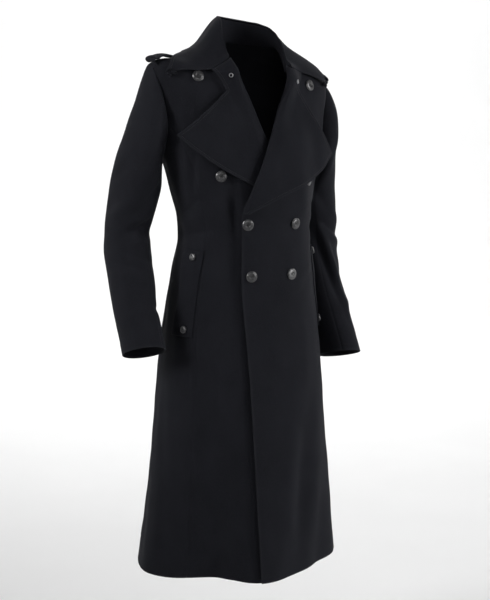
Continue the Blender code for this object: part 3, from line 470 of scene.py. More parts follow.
# Columns close to an edge: the rounding of the edge, and the dip of a stitched line
EDGE_OFFSETS = (0.0, 0.00015, 0.0005, 0.0011, 0.0020, 0.0036)
FOLD_OFFSETS = (0.0, 0.002, 0.005)
STITCH_OFFSETS = EDGE_OFFSETS + (0.0047, 0.0054, 0.0060, 0.0066, 0.0073, 0.0090)
STITCH_LINE = 0.0060
STITCH_DIP = 0.0005
STITCH_WIDTH = 0.0009
STITCH_PITCH = 0.0036
STITCH_LENGTH = 0.0027
STITCH_RADIUS = 0.00034
STITCH_ARCH = 0.9
STITCH_SIDES = 6
STITCH_STEP = 0.001
STITCH_TRIM = 2
# A stitch along its half length, and its radius there as a share
Station = namedtuple("Station", "place share")
STITCH_STATIONS = (
    Station(-1.0, 0.12), Station(-0.7, 0.75), Station(0.0, 1.0), Station(0.7, 0.75), Station(1.0, 0.12),
)

# Rows and columns of points on each piece
SKIRT_ROWS = 215
ARMHOLE_ROWS = 44
SHOULDER_ROWS = 26
PANEL_COLUMNS = 52
ROUGH_COLUMNS = 30
SIDE_SKIRT_ROWS = 178
SIDE_TOP_ROWS = 40
SIDE_TOP_START = 0.97
SIDE_TOP_SHARES = (0.98, 0.988, 0.994, 0.998, 1.0)
SIDE_COLUMNS = 34
SLEEVE_ROWS = 140
UPPER_SLEEVE_COLUMNS = 74
UNDER_SLEEVE_COLUMNS = 34
LAPEL_ROWS = 130
LAPEL_COLUMNS = 44
ROLL_COLUMNS = 9
ROLL_AIM_COLUMN = 4
COLLAR_ROWS = 230
STAND_COLUMNS = 12
FALL_COLUMNS = 34
STRAP_ROWS = 96
STRAP_COLUMNS = 14
STRAP_LOOP_ROWS = 60
STRAP_SEWN_ROWS = 6
WELT_ROWS = 80
WELT_COLUMNS = 28
SEAT_SPOTS = 12
SEAT_REACH = 0.02

# Steps of the curves and searches, and the most that close columns may take of a narrow row
CURVE_SAMPLES = 2401
HALVINGS = 30
BATCH = 4000
SQUEEZE = 0.45

# Camera: how it stood, and its lens for a sensor whose long side is 24 mm
VIEW_YAW = 30.0
VIEW_PITCH = 8.2
VIEW_DISTANCE = 3.0
VIEW_HEIGHT = -0.12
VIEW_RIGHT = 0.0043
SENSOR_LONG_SIDE = 24.0
LENS = 56.4

# Stage: a round floor with a bend up to its wall
FLOOR_Z = -1.46
STAGE_CORE = 1.0
STAGE_RADIUS = 6.5
STAGE_BEND = 1.8
STAGE_HEIGHT = 6.0
STAGE_BEND_STEPS = 13
STAGE_SIDES = 72

# Lights: place, target, size, width of the beam in degrees, and power
AMBIENT = 0.06
Light = namedtuple("Light", "name place target size beam power")
LIGHTS = (
    Light("key", (2.0, -2.25, 0.3), (0.0, 0.0, -0.6), (1.3, 2.3), 100, 19),
    Light("front", (-1.0, -2.6, 0.3), (-0.06, 0.0, -0.20), (1.0, 0.8), 44, 0.5),
    Light("fill", (-2.4, 0.0, 0.6), (-0.30, 0.0, -0.36), (0.9, 1.2), 44, 3.2),
    Light("edge", (2.3, 0.9, 0.5), (0.26, 0.0, -0.40), (0.8, 1.2), 36, 0.5),
    Light("top", (-0.4, 0.9, 2.2), (0.0, 0.0, -0.2), (1.0, 0.8), 180, 5),
    Light("backdrop", (1.4, 2.2, 2.4), (1.8, 3.2, 0.0), (3.0, 1.2), 180, 118),
    Light("wall", (2.3, 4.0, 3.2), (3.1, 5.4, 0.6), (4.0, 1.0), 180, 85),
)

# Colours: the darker and the lighter tone of each material
WOOL_TONES = (0.0070, 0.0074, 0.0102, 1), (0.0110, 0.0114, 0.0152, 1)
WOOL_FLECK = (0.0146, 0.0152, 0.0196, 1)
WOOL_WORN = (0.0205, 0.0212, 0.0260, 1)
WOOL_SHEEN = (0.86, 0.90, 1.0, 1)
THREAD_TONES = (0.010, 0.010, 0.012, 1), (0.022, 0.022, 0.025, 1)
HORN_TONES = (0.024, 0.024, 0.026, 1), (0.042, 0.042, 0.045, 1)
STEEL_TONES = (0.36, 0.36, 0.38, 1), (0.54, 0.54, 0.56, 1)
FLOOR_TONES = (0.86, 0.86, 0.86, 1), (0.90, 0.90, 0.90, 1)


def smoothstep(value, start, end):
    """0 before start, 1 after end, smooth between."""
    t = np.clip((value - start) / (end - start), 0.0, 1.0)
    return t * t * (3.0 - 2.0 * t)


def smooth_curve(xs, ys, blur):
    """A curve through a table's column that doesn't overshoot its rows, softened over a distance."""
    xs, ys = np.asarray(xs, float), np.asarray(ys, float)
    step = np.diff(xs)
    slope = np.diff(ys) / step
    tangent = np.empty_like(ys)
    tangent[0], tangent[-1] = slope[0], slope[-1]
    before, after = slope[:-1], slope[1:]
    total = np.where(before * after > 0, before + after, 1.0)
    tangent[1:-1] = np.where(before * after > 0, 2.0 * before * after / total, 0.0)
    x = np.linspace(xs[0], xs[-1], CURVE_SAMPLES)
    i = np.clip(np.searchsorted(xs, x) - 1, 0, len(step) - 1)
    t = (x - xs[i]) / step[i]
    y = ys[i] * (1 + 2 * t) * (1 - t) ** 2 + ys[i + 1] * t * t * (3 - 2 * t)
    y = y + step[i] * (tangent[i] * t * (1 - t) ** 2 + tangent[i + 1] * t * t * (t - 1))
    reach = int(3 * blur / (x[1] - x[0]))
    if reach > 0:
        kernel = np.exp(-0.5 * (np.arange(-reach, reach + 1) / (reach / 3)) ** 2)
        start = 2 * y[0] - y[reach:0:-1]
        end = 2 * y[-1] - y[-2:-reach - 2:-1]
        y = np.convolve(np.concatenate([start, y, end]), kernel / kernel.sum(), "valid")
    return lambda at: np.interp(at, x, y)


def columns(table, blur):
    """One smooth curve for each column of a table, over its first column."""
    first, *others = zip(*table)
    return {name: smooth_curve(first, column, blur) for name, column in zip(table[0]._fields[1:], others)}


def both_sides(table):
    """A table that runs from the middle to the left, continued to the right by mirroring."""
    mirrored = []
    for row in reversed(table[1:]):
        across = [name for name in row._fields if name == "turn" or name.endswith("_x")]
        mirrored.append(row._replace(**{name: -getattr(row, name) for name in across}))
    return tuple(mirrored) + table


BODY = columns(BODY_SECTIONS, blur=0.008)
LEAN = columns(STANCE, blur=0.025)
ROLL_X = columns(ROLL, blur=0.006)["x"]
SLEEVE = {side: columns(table, blur=0.025) for side, table in SLEEVES.items()}
COLLAR = columns(both_sides(COLLAR_SECTIONS), blur=6.0)
STRAP = columns(STRAP_SECTIONS, blur=0.012)


def posed(points):
    """Points leaned into the stance."""
    moved = np.array(points, float)
    moved[..., 2] -= points[..., 0] * LEAN["tilt"](points[..., 2])
    moved[..., 0] += LEAN["shift"](points[..., 2])
    beside = smoothstep(-points[..., 0], *SAG_START) * (1 - smoothstep(-points[..., 0], *SAG_END))
    moved[..., 2] -= SAG_DEPTH * beside * smoothstep(points[..., 2], *SAG_HEIGHT)
    return moved


def fold_lift(signed_turn, z):
    """How far the skirt's flutes stand out; turns to the left are positive."""
    lift = np.zeros(np.broadcast(signed_turn, z).shape)
    for fold in SKIRT_FOLDS:
        near = np.exp(-(((np.degrees(signed_turn) - fold.turn) / fold.spread) ** 2))
        lift += fold.depth * near * np.clip((fold.top - z) / (fold.top - HEM_Z), 0, 1) ** FOLD_GROWTH
    return lift


def body_skin(side, turn, z):
    """The coat's outer skin before layers: turn runs from centre front to centre back."""
    turn, z = np.broadcast_arrays(np.asarray(turn, float), np.asarray(z, float))
    s, c = np.sin(turn), np.cos(turn)
    power = 2.0 / BODY["power"](z)
    flute = fold_lift(side * turn, z)
    x = (BODY["half_width"](z) + flute) * np.sign(s) * np.abs(s) ** power
    depth = np.where(c > 0, BODY["front"](z), BODY["back"](z)) + flute
    y = BODY["centre_y"](z) - depth * np.sign(c) * np.abs(c) ** power
    return posed(np.stack([side * x, y, z], -1))


def shoulder_height(x, y):
    """Height of the body's skin, before the stance, above a place on the shoulders or chest."""
    x, y = np.broadcast_arrays(np.abs(np.asarray(x, float)), np.asarray(y, float))
    low, high = np.full(x.shape, ARMPIT_Z), np.zeros(x.shape)
    for _ in range(HALVINGS):
        z = (low + high) / 2
        power, off = BODY["power"](z), y - BODY["centre_y"](z)
        depth = np.where(off < 0, BODY["front"](z), BODY["back"](z))
        inside = (x / BODY["half_width"](z)) ** power + (np.abs(off) / depth) ** power < 1
        low, high = np.where(inside, z, low), np.where(inside, high, z)
    return low


def turn_at(x, z):
    """The turn where the body's skin has this distance from the centre, front half."""
    share = np.clip(np.abs(x) / BODY["half_width"](z), 0, 1)
    return np.sign(x) * np.arcsin(share ** (BODY["power"](z) / 2.0))


def armhole(phi):
    """Turn and height round the armhole: phi 0 at the shoulder, 90 in front, 180 at the armpit."""
    reach = np.where(np.sin(phi) > 0, ARMHOLE_FRONT, ARMHOLE_BACK)
    return np.radians(90.0 - reach * np.sin(phi)), ARMHOLE_MIDDLE + ARMHOLE_HALF * np.cos(phi)


def armhole_turn(z, front):
    """The turn of the armhole's front or back edge at a height."""
    share = np.sqrt(np.clip(1 - ((z - ARMHOLE_MIDDLE) / ARMHOLE_HALF) ** 2, 0, 1))
    return np.radians(90.0 + (-ARMHOLE_FRONT if front else ARMHOLE_BACK) * share)


def armhole_calm(turn, z):
    """0 on the armhole's edge, where a sleeve is sewn in, and 1 a few centimetres from it."""
    off = np.degrees(turn) - 90.0
    reach = np.where(off < 0, ARMHOLE_FRONT, ARMHOLE_BACK)
    return smoothstep(np.hypot(off / reach, (z - ARMHOLE_MIDDLE) / ARMHOLE_HALF), 1.0, CALM_REACH)


def neck_stand_off(x, z):
    """How far the fold of a lapel stands off the chest near the neck."""
    up = smoothstep(z, *NECK_LIFT_START) * (1 - smoothstep(z, *NECK_LIFT_END))
    return LAPEL_NECK_LIFT * up * (1 - smoothstep(x - ROLL_X(z), *NECK_LIFT_FADE))


def front_lift(side, x, z):
    """How far a front stands out: at the neck, and the left one over the right one and its lapel."""
    stand_off = neck_stand_off(x, z)
    if side < 0:
        under = (1 - smoothstep(x, *UNDER_FADE)) * (1 - smoothstep(z, *UNDER_END))
        return stand_off - UNDER_SINK * under
    over = 1 - smoothstep(x, *OVER_FADE)
    above = smoothstep(z, *OVER_LAPEL_START) * (1 - smoothstep(z, *OVER_LAPEL_END))
    return stand_off + over * (OVER_LIFT + (OVER_LAPEL_LIFT - OVER_LIFT) * above)


def crease_lift(creases, along, across):
    """The sum of soft troughs and ridges at places along and across a piece, in metres."""
    lift = np.zeros(np.broadcast(along, across).shape)
    for crease in creases:
        a, b = along - crease.along, across - crease.across
        c, s = math.cos(math.radians(crease.angle)), math.sin(math.radians(crease.angle))
        lift += crease.depth * np.exp(-(((a * c + b * s) / crease.length) ** 2)
                                      - ((b * c - a * s) / crease.width) ** 2)
    return lift


def ripple(points, height, kind):
    """A faint unevenness of hung cloth, the same each time."""
    waves = np.random.default_rng(RIPPLE_SEEDS[kind])
    lift = np.zeros(points.shape[:-1])
    for _ in range(RIPPLE_WAVES):
        direction = waves.normal(size=3) * RIPPLE_GRAIN
        direction = direction * 2 * math.pi / waves.uniform(*RIPPLE_LENGTHS) / RIPPLE_DIRECTION
        lift += np.sin(points @ direction + waves.uniform(0, 2 * math.pi))
    return lift * height / RIPPLE_SUM


def grid_normals(grid, hint):
    """Unit normals of a grid of points, all on the side that hint points to on the whole."""
    n = np.cross(np.gradient(grid, axis=0), np.gradient(grid, axis=1))
    n /= np.maximum(np.linalg.norm(n, axis=-1, keepdims=True), 1e-12)
    return n * np.sign(np.sum(n * hint))


def run_length(grid, axis):
    """Length of a grid's lines along an axis."""
    return np.linalg.norm(np.diff(grid, axis=axis), axis=-1).sum(axis)


def spread(width, count, first_offsets=EDGE_OFFSETS, last_offsets=EDGE_OFFSETS):
    """Shares across a row of this width, close together near its two edges."""
    width = np.asarray(width, float).reshape(-1, 1)
    squeeze = np.minimum(1.0, width * SQUEEZE / max(first_offsets[-1], last_offsets[-1]))
    first = np.array(first_offsets)[None, :] * squeeze / width
    last = 1 - np.array(last_offsets)[None, ::-1] * squeeze / width
    inner = first[:, -1:] + (last[:, :1] - first[:, -1:]) * np.linspace(0, 1, count + 2)[None, 1:-1]
    return np.concatenate([first, inner, last], 1)


def edge_distance(grid, *edges):
    """Distance of each point of a grid from the nearest of some lines of points."""
    line = np.concatenate(edges)
    flat = grid.reshape(-1, 3)
    near = np.empty(len(flat))
    for start in range(0, len(flat), BATCH):
        part = flat[start:start + BATCH]
        square = (part**2).sum(1)[:, None] + (line**2).sum(1)[None, :] - 2 * part @ line.T
        near[start:start + BATCH] = np.sqrt(np.maximum(square.min(1), 0))
    return near.reshape(grid.shape[:-1])


def rounding(distance, radius):
    """How far a skin drops to a rounded edge at a distance from it."""
    inside = np.clip(1 - distance / radius, 0, ROUND_LIMIT)
    return radius * (1 - np.sqrt(1 - inside**2))


def two_skins(grid, n, thick, free, sewn=None, stitched=None):
    """Outer and inner skins of a wall under a grid: free edges rounded, seams and stitch lines dipped."""
    thick = np.broadcast_to(np.asarray(thick, float), free.shape)
    drop = rounding(free, thick / 2)
    dip = np.zeros(free.shape)
    if sewn is not None:
        dip = dip + SEAM_DIP * np.exp(-((sewn / SEAM_WIDTH) ** 2))
    if stitched is not None:
        dip = dip + STITCH_DIP * np.exp(-(((stitched - STITCH_LINE) / STITCH_WIDTH) ** 2))
    outer = grid - n * (drop + dip)[..., None]
    inner = grid - n * (thick - drop)[..., None]
    return outer, inner


def wall_mesh(name, outer, inner, wear):
    """A closed wall between two skins, each a grid of points, with a wear value at each point."""
    rows, cols = outer.shape[:2]
    count = rows * cols
    index = np.arange(count).reshape(rows, cols)
    a, b, c, d = index[:-1, :-1], index[:-1, 1:], index[1:, 1:], index[1:, :-1]
    quads = np.stack([a, b, c, d], -1).reshape(-1, 4)
    rim = np.concatenate([index[0, :-1], index[:-1, -1], index[-1, :0:-1], index[:0:-1, 0]])
    after = np.roll(rim, -1)
    faces = np.concatenate([
        quads,
        quads[:, ::-1] + count,
        np.stack([after, rim, rim + count, after + count], -1),
    ])
    points = np.concatenate([outer.reshape(-1, 3), inner.reshape(-1, 3)])
    p = points[faces]
    volume = np.einsum("ij,ij->i", p[:, 0], np.cross(p[:, 1], p[:, 2]) + np.cross(p[:, 2], p[:, 3])).sum()
    if volume < 0:
        faces = faces[:, ::-1]
    mesh = bpy.data.meshes.new(name)
    mesh.from_pydata(points.tolist(), [], faces.tolist())
    mesh.shade_smooth()
    worn = mesh.attributes.new("wear", "FLOAT", "POINT")
    worn.data.foreach_set("value", np.concatenate([wear.reshape(-1)] * 2).astype(np.float32))
    return mesh


def add_piece(name, mesh, materials, nodes=()):
    """A named object of the coat, in place of some CAD nodes."""
    obj = bpy.data.objects.new(name, mesh)
    bpy.context.scene.collection.objects.link(obj)
    for material in materials:
        mesh.materials.append(material)
    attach(obj, "root")
    if nodes:
        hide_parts(*nodes)
    return obj


def add_cloth(name, node, skins, wear):
    """A cloth piece between two skins, in place of its CAD node."""
    outer, inner = skins
    obj = add_piece(name, wall_mesh(name, outer, inner, wear), [WOOL], [node])
    return obj


def seam_inset(turn, z, gaps):
    """A turn moved by this many half seam gaps."""
    return turn + gaps * (SEAM_GAP / 2) / BODY["half_width"](z)


def body_panel(side, turn, z, lift, hint):
    """Skin and normals of a panel: its form with creases and a faint unevenness."""
    skin = body_skin(side, turn, z)
    n = grid_normals(skin, hint)
    reach = side * turn * BODY_RADIUS
    below = 1 - smoothstep(z, *CREASE_TOP)
    uneven = crease_lift(BODY_CREASES, z, reach) * below + ripple(skin, RIPPLE, "body")
    lift = lift + uneven * armhole_calm(turn, z)
    skin = skin + n * lift[..., None]
    return skin, grid_normals(skin, hint)


def panel_rows(corner_phi):
    """Heights from the hem to where a seam meets the armhole, round the armhole, and over the shoulder."""
    corner_z = float(armhole(math.radians(corner_phi))[1])
    hem = HEM_Z + np.array(EDGE_OFFSETS)
    skirt = np.linspace(hem[-1], corner_z, SKIRT_ROWS)[1:]
    phi = np.radians(np.linspace(corner_phi, 0, ARMHOLE_ROWS))[1:]
    shoulder = np.linspace(SHOULDER_Z, NECK_Z, SHOULDER_ROWS)[1:]
    return np.concatenate([hem, skirt, armhole(phi)[1], shoulder])[:, None]


def hem_impression(z):
    """The faint line where the turned-up hem ends inside."""
    return -HEM_DIP * np.exp(-(((z - HEM_Z - HEM_TURN_UP) / TURN_UP_LINE) ** 2))


def wear_from(distance):
    """Wear at a free edge, from its distance."""
    return np.exp(-((distance / WEAR_REACH) ** 2))


def seam_curve(up):
    """How far the princess seam has curved to the armhole at a share of the way from the break to it."""
    return np.clip(up, 0, 1) ** PRINCESS_CURVE


def even_turns(side, first, last, z):
    """Turns across a panel between its two edges, close together near them, at each height."""
    rough = body_skin(side, first + (last - first) * np.linspace(0, 1, ROUGH_COLUMNS)[None, :], z)
    return first + (last - first) * spread(run_length(rough, 1), PANEL_COLUMNS)


def front_panel(side, word):
    """Centre front to princess seam, and up past the armhole to the shoulder seam."""
    z = panel_rows(PRINCESS_PHI)
    top_turn, top_z = armhole(math.radians(PRINCESS_PHI))
    outer_edge = np.where(
        z < top_z,
        PRINCESS_TURN + (top_turn - PRINCESS_TURN) * seam_curve((z - BREAK_Z) / (top_z - BREAK_Z)),
        np.where(z < SHOULDER_Z, armhole_turn(z, True), np.radians(90.0)),
    )
    outer_edge = seam_inset(outer_edge, z, -1)
    inner_edge = np.minimum(turn_at(ROLL_X(z), z), outer_edge - np.radians(NARROWEST_FRONT))
    turn = even_turns(side, inner_edge, outer_edge, z)
    z = z + 0 * turn
    x = np.abs(body_skin(1, turn, z)[..., 0]) * np.sign(turn)
    lift = front_lift(side, x, z) + hem_impression(z)
    skin, n = body_panel(side, turn, z, lift, np.array((0.3 * side, -1.0, 0.3)))
    free = edge_distance(skin, skin[0], skin[:, 0])
    sewn = edge_distance(skin, skin[:, -1], skin[-1])
    skins = two_skins(skin, n, CLOTH, free, sewn)
    return add_cloth(f"coat_front_{word}", f"front_{word}", skins, wear_from(free))


def offset_line(skin, n, rows):
    """Points and normals of the stitch line along a grid's first column, at some rows."""
    column = STITCH_OFFSETS.index(STITCH_LINE)
    return skin[rows, column] - n[rows, column] * STITCH_DIP, n[rows, column]


def side_panel(side, word):
    """Princess seam to side seam, up to the armhole."""
    side_turn = armhole(math.radians(SIDE_PHI))[0]
    share = spread(BODY_RADIUS * (side_turn - PRINCESS_TURN), SIDE_COLUMNS)
    low_turn = PRINCESS_TURN + (side_turn - PRINCESS_TURN) * share
    top_turn, top_z = armhole(np.radians(PRINCESS_PHI + (SIDE_PHI - PRINCESS_PHI) * share))
    hem = HEM_Z + np.array(EDGE_OFFSETS)
    lower = np.concatenate([hem, np.linspace(hem[-1], BREAK_Z, SIDE_SKIRT_ROWS)[1:]])[:, None] + 0 * share
    up = np.concatenate([np.linspace(0, SIDE_TOP_START, SIDE_TOP_ROWS)[1:], SIDE_TOP_SHARES])[:, None]
    z = np.concatenate([lower, BREAK_Z + up * (top_z - SEAM_GAP - BREAK_Z)])
    up = np.concatenate([np.zeros((len(lower), 1)), up])
    turn = seam_inset(low_turn + (top_turn - low_turn) * seam_curve(up), z, 1 - 2 * share)
    skin, n = body_panel(side, turn, z, hem_impression(z), np.array((side, 0.0, 0.0)))
    free = edge_distance(skin, skin[0])
    sewn = edge_distance(skin, skin[:, 0], skin[:, -1], skin[-1])
    skins = two_skins(skin, n, CLOTH, free, sewn)
    add_cloth(f"coat_side_{word}", f"side_{word}", skins, wear_from(free))


def back_panel(side, word):
    """Side seam to centre back, and up past the armhole to the shoulder seam and neck."""
    z = panel_rows(360 - SIDE_PHI)
    side_turn, side_top = armhole(math.radians(SIDE_PHI))
    outer_edge = np.where(
        z < side_top,
        side_turn,
        np.where(z < SHOULDER_Z, armhole_turn(z, False), np.radians(90.0)),
    )
    outer_edge = seam_inset(outer_edge, z, 1)
    centre = seam_inset(math.pi, z, -1)
    turn = even_turns(side, outer_edge, centre, z)
    z = z + 0 * turn
    skin, n = body_panel(side, turn, z, hem_impression(z), np.array((0.3 * side, 1.0, 0.3)))
    free = edge_distance(skin, skin[0])
    sewn = edge_distance(skin, skin[:, 0], skin[:, -1], skin[-1])
    skins = two_skins(skin, n, CLOTH, free, sewn)
    add_cloth(f"coat_back_{word}", f"back_{word}", skins, wear_from(free))


def sleeve_skin(side, phi, share):
    """A sleeve's outer skin: phi 0 on the outside of the arm, 90 in front, 180 inside."""
    phi, share = np.broadcast_arrays(np.asarray(phi, float), np.asarray(share, float))
    sleeve = SLEEVE[side]

    def middle(at):
        x = (sleeve["outer_x"](at) + sleeve["inner_x"](at)) / 2
        z = (sleeve["outer_z"](at) + sleeve["inner_z"](at)) / 2
        return np.stack([x, sleeve["middle_y"](at), z], -1)

    tangent = middle(np.clip(share + SLEEVE_STEP, 0, 1)) - middle(np.clip(share - SLEEVE_STEP, 0, 1))
    across = np.stack([sleeve["outer_x"](share), sleeve["middle_y"](share), sleeve["outer_z"](share)], -1)
    across = across - middle(share)
    front = np.stack([np.zeros_like(share), tangent[..., 2], -tangent[..., 1]], -1)
    front /= np.linalg.norm(front, axis=-1, keepdims=True)
    depth = sleeve["half_depth"](share)[..., None]
    arm = middle(share) + np.cos(phi)[..., None] * across + np.sin(phi)[..., None] * depth * front
    arm[..., 0] *= side
    arm[..., 2] -= arm[..., 0] * ARM_TILT
    arm[..., 0] += LEAN["shift"](ARMPIT_Z)
    seam = body_skin(side, *armhole(phi)) + np.array((side * SLEEVE_GAP, 0.0, 0.0))
    return seam + (arm - seam) * smoothstep(share, 0.0, SLEEVE_BLEND)[..., None]


def sleeve_piece(side, word, part, first, last, count):
    """Upper or under sleeve, between two seams round the arm, with its creases."""
    gap = math.degrees(SEAM_GAP / ARM_RADIUS)
    width = math.radians(last - first) * ARM_RADIUS
    share = spread(ARM_LENGTH, SLEEVE_ROWS).reshape(-1, 1)
    share = SLEEVE_START + (1 - SLEEVE_START) * share
    phi = np.radians(first + gap + (last - first - 2 * gap) * spread(width, count))
    phi, share = np.broadcast_arrays(phi, share)
    skin = sleeve_skin(side, phi, share)
    spine = sleeve_skin(side, phi + math.pi, share)
    n = grid_normals(skin, skin - spine)
    lift = ripple(skin, RIPPLE, "sleeve")
    for crease in SLEEVE_CREASES[side]:
        away = np.radians((np.degrees(phi) - crease.across + 180) % 360 - 180)
        lift += crease_lift([crease._replace(across=0.0)], share * ARM_LENGTH, away * ARM_RADIUS)
    calm = CUFF_CALM * smoothstep(share, *SLEEVE_CREASE_END)
    ends = smoothstep(share, *SLEEVE_CREASE_START) * (1 - calm)
    mark = np.exp(-(((1 - share) * ARM_LENGTH - CUFF_TURN_UP) / TURN_UP_LINE) ** 2)
    lift = lift * ends - CUFF_DIP * mark
    skin = skin + n * lift[..., None]
    n = grid_normals(skin, skin - spine)
    free = edge_distance(skin, skin[-1])
    sewn = edge_distance(skin, skin[:, 0], skin[:, -1], skin[0])
    skins = two_skins(skin, n, CLOTH, free, sewn)
    node = f"sleeve_{part}_{word}"
    add_cloth(f"coat_{node}", node, skins, wear_from(free))


def lapel_skin(side, x, z, lift):
    """The chest as the lapel lies on it, wider than the body so that the lapel stands off at its tip."""
    wide = BODY["half_width"](z) + LAPEL_SPREAD * smoothstep(x, *LAPEL_SPREAD_SPAN)
    power = BODY["power"](z)
    reach = np.clip(1 - (np.abs(x) / wide) ** power, 0, 1) ** (1 / power)
    y = BODY["centre_y"](z) - BODY["front"](z) * reach - lift
    return posed(np.stack([side * x, y, z], -1))


def polyline(corners, shares, t):
    """Points at t on straight legs between corners that are reached at the given shares."""
    corners = np.array(corners, float)
    return np.stack([np.interp(t, shares, corners[:, k]) for k in range(corners.shape[1])], -1)


def rolled(below, above, outwards):
    """Half-round columns from the points below to those above, bulging outwards."""
    middle = ((below + above) / 2)[:, None]
    half = ((above - below) / 2)[:, None]
    radius = np.linalg.norm(half, axis=-1, keepdims=True)
    angle = np.radians(np.linspace(-90, 90, ROLL_COLUMNS + 1)[:-1])[None, :, None]
    return middle + half * np.sin(angle) + outwards[:, None] * radius * np.cos(angle), radius[..., 0]


def roll_thickness(thin, share):
    """Wall of a piece with a rolled fold: thin round the roll, and fuller away from it."""
    turned = np.repeat(np.minimum(thin, DOUBLE_CLOTH), ROLL_COLUMNS, 1)
    return np.concatenate([turned, np.minimum(thin + ROLL_GROWTH * share, DOUBLE_CLOTH)], 1)


def lapel_edge(side, t, edge_start):
    """A lapel's outline from the break by its bellied lower edge to the tip, the notch and the gorge."""
    tip = np.array(LAPEL_TIPS[side])
    start = np.array([ROLL_X(BREAK_Z), BREAK_Z])
    start = start + (tip - start) * edge_start
    edge = polyline((start, tip, LAPEL_NOTCHES[side], LAPEL_TOP), LAPEL_LEGS, t)
    lower = np.clip(t / LAPEL_LEGS[1], 0, 1)
    away = np.array((tip[1] - start[1], start[0] - tip[0])) / np.linalg.norm(tip - start)
    depth, lean = LAPEL_BELLIES[side]
    return edge + away * (depth * np.sin(math.pi * lower**lean))[:, None]


def lapel(side, word):
    """The front turned back on itself in a soft roll: from the fold to the tip, notch and gorge."""
    close = np.array(EDGE_OFFSETS) / LAPEL_LENGTH
    inner = np.linspace(close[-1], 1 - close[-1], LAPEL_ROWS)[1:-1]
    t = np.unique(np.concatenate([close, inner, 1 - close[::-1], LAPEL_LEGS]))
    fold_start, edge_start = LAPEL_STARTS[side]
    fold_z = BREAK_Z + (LAPEL_FOLD_TOP_Z - BREAK_Z) * (fold_start + (1 - fold_start) * t)
    fold = np.stack([ROLL_X(fold_z), fold_z], -1)
    edge = lapel_edge(side, t, edge_start)
    share = spread(np.linalg.norm(edge - fold, axis=-1), LAPEL_COLUMNS, FOLD_OFFSETS, STITCH_OFFSETS)
    flat = fold[:, None] + (edge - fold)[:, None] * share[..., None]
    x, z = flat[..., 0], flat[..., 1]
    lift = LAPEL_BASE_LIFT + LAPEL_ROLL_LIFT * smoothstep(share, *LAPEL_ROLL_SPAN)
    lift = lift + LAPEL_EDGE_LIFT * smoothstep(share, *LAPEL_EDGE_SPAN)
    lift = lift + LAPEL_TOP_LIFTS[side] * smoothstep(z, *LAPEL_TOP_SPAN) + front_lift(side, x, z)
    face = lapel_skin(side, x, z, lift)
    face[..., 1] -= np.abs(ripple(face, LAPEL_RIPPLE, "lapel"))
    gorge = fall_skin(np.array([side * COLLAR_END]), share[-1:, :, None] * GORGE_SHARE)[0]
    face = face + (gorge - face[-1]) * smoothstep(t, LAPEL_LEGS[2] - GORGE_BLEND, 1.0)[:, None, None]
    fold_turn = turn_at(fold[:, 0], fold_z)
    below = body_skin(side, fold_turn, fold_z)
    below[:, 1] -= front_lift(side, fold[:, 0], fold_z)
    outwards = face[:, 0] - face[:, ROLL_AIM_COLUMN]
    outwards /= np.linalg.norm(outwards, axis=-1, keepdims=True)
    turned, radius = rolled(below, face[:, 0], outwards)
    skin = np.concatenate([turned, face], 1)
    n = grid_normals(skin, np.array((0.0, -1.0, 0.0)))
    thick = roll_thickness(LAPEL_ROLL_THICK * radius, share)
    free = edge_distance(skin, skin[:, -1], skin[-1], skin[0])
    stitched = edge_distance(skin, skin[:, -1])
    skins = two_skins(skin, n, thick, free, stitched=stitched)
    obj = add_cloth(f"coat_lapel_{word}", f"lapel_{word}", skins, wear_from(free))
    add_stitches(f"stitch_lapel_{word}", parallel_line(flat_edge_path(skin, n, stitched)))
    return obj


def flat_edge_path(skin, n, distance):
    """The line on a grid at the stitch distance from its last column, with its normals."""
    points, normals = [], []
    for row in range(len(skin)):
        crossing = np.nonzero((distance[row, :-1] >= STITCH_LINE) & (distance[row, 1:] < STITCH_LINE))[0]
        if len(crossing):
            c = crossing[-1]
            span = distance[row, c] - distance[row, c + 1]
            s = (distance[row, c] - STITCH_LINE) / span
            points.append(skin[row, c] * (1 - s) + skin[row, c + 1] * s)
            normals.append(n[row, c])
    points, normals = np.array(points), np.array(normals)
    return points - normals * STITCH_DIP, normals


def parallel_line(path):
    """A stitch path cut back a little from both ends of its piece."""
    points, normals = path
    return points[STITCH_TRIM:-STITCH_TRIM], normals[STITCH_TRIM:-STITCH_TRIM]


def collar_lines(turn):
    """Neck seam, fold and outer edge of the collar at turns from centre back, and which way it falls."""
    lines = []
    for line in ("seam", "fold", "edge"):
        lines.append(np.stack([COLLAR[f"{line}_{axis}"](turn) for axis in "xyz"], -1))
    seam, fold, edge = lines
    edge[:, 2] += COLLAR_LEAN * edge[:, 0] * smoothstep(np.abs(turn), *COLLAR_LEAN_SPAN)
    drop = COLLAR_DROP * smoothstep(turn, *COLLAR_DROP_SPAN)
    seam[:, 2] -= drop
    fold[:, 2] -= drop
    away = (edge - fold) * (1.0, 1.0, 0.0)
    return seam, fold, edge, away / np.linalg.norm(away, axis=-1, keepdims=True)


def fall_skin(turn, share):
    """The collar's fall, from its fold (share 0) to its outer edge."""
    _, fold, edge, away = collar_lines(turn)
    start = fold + away * (CLOTH + SEAT_GAP)
    fall = start[:, None] + (edge - start)[:, None] * share
    up = away * CROWN_LEAN + np.array((0, 0, CROWN_LEAN))
    fall = fall + up[:, None] * COLLAR_CROWN * (4 * share * (1 - share)) ** CROWN_POWER
    return posed(cleared(fall))


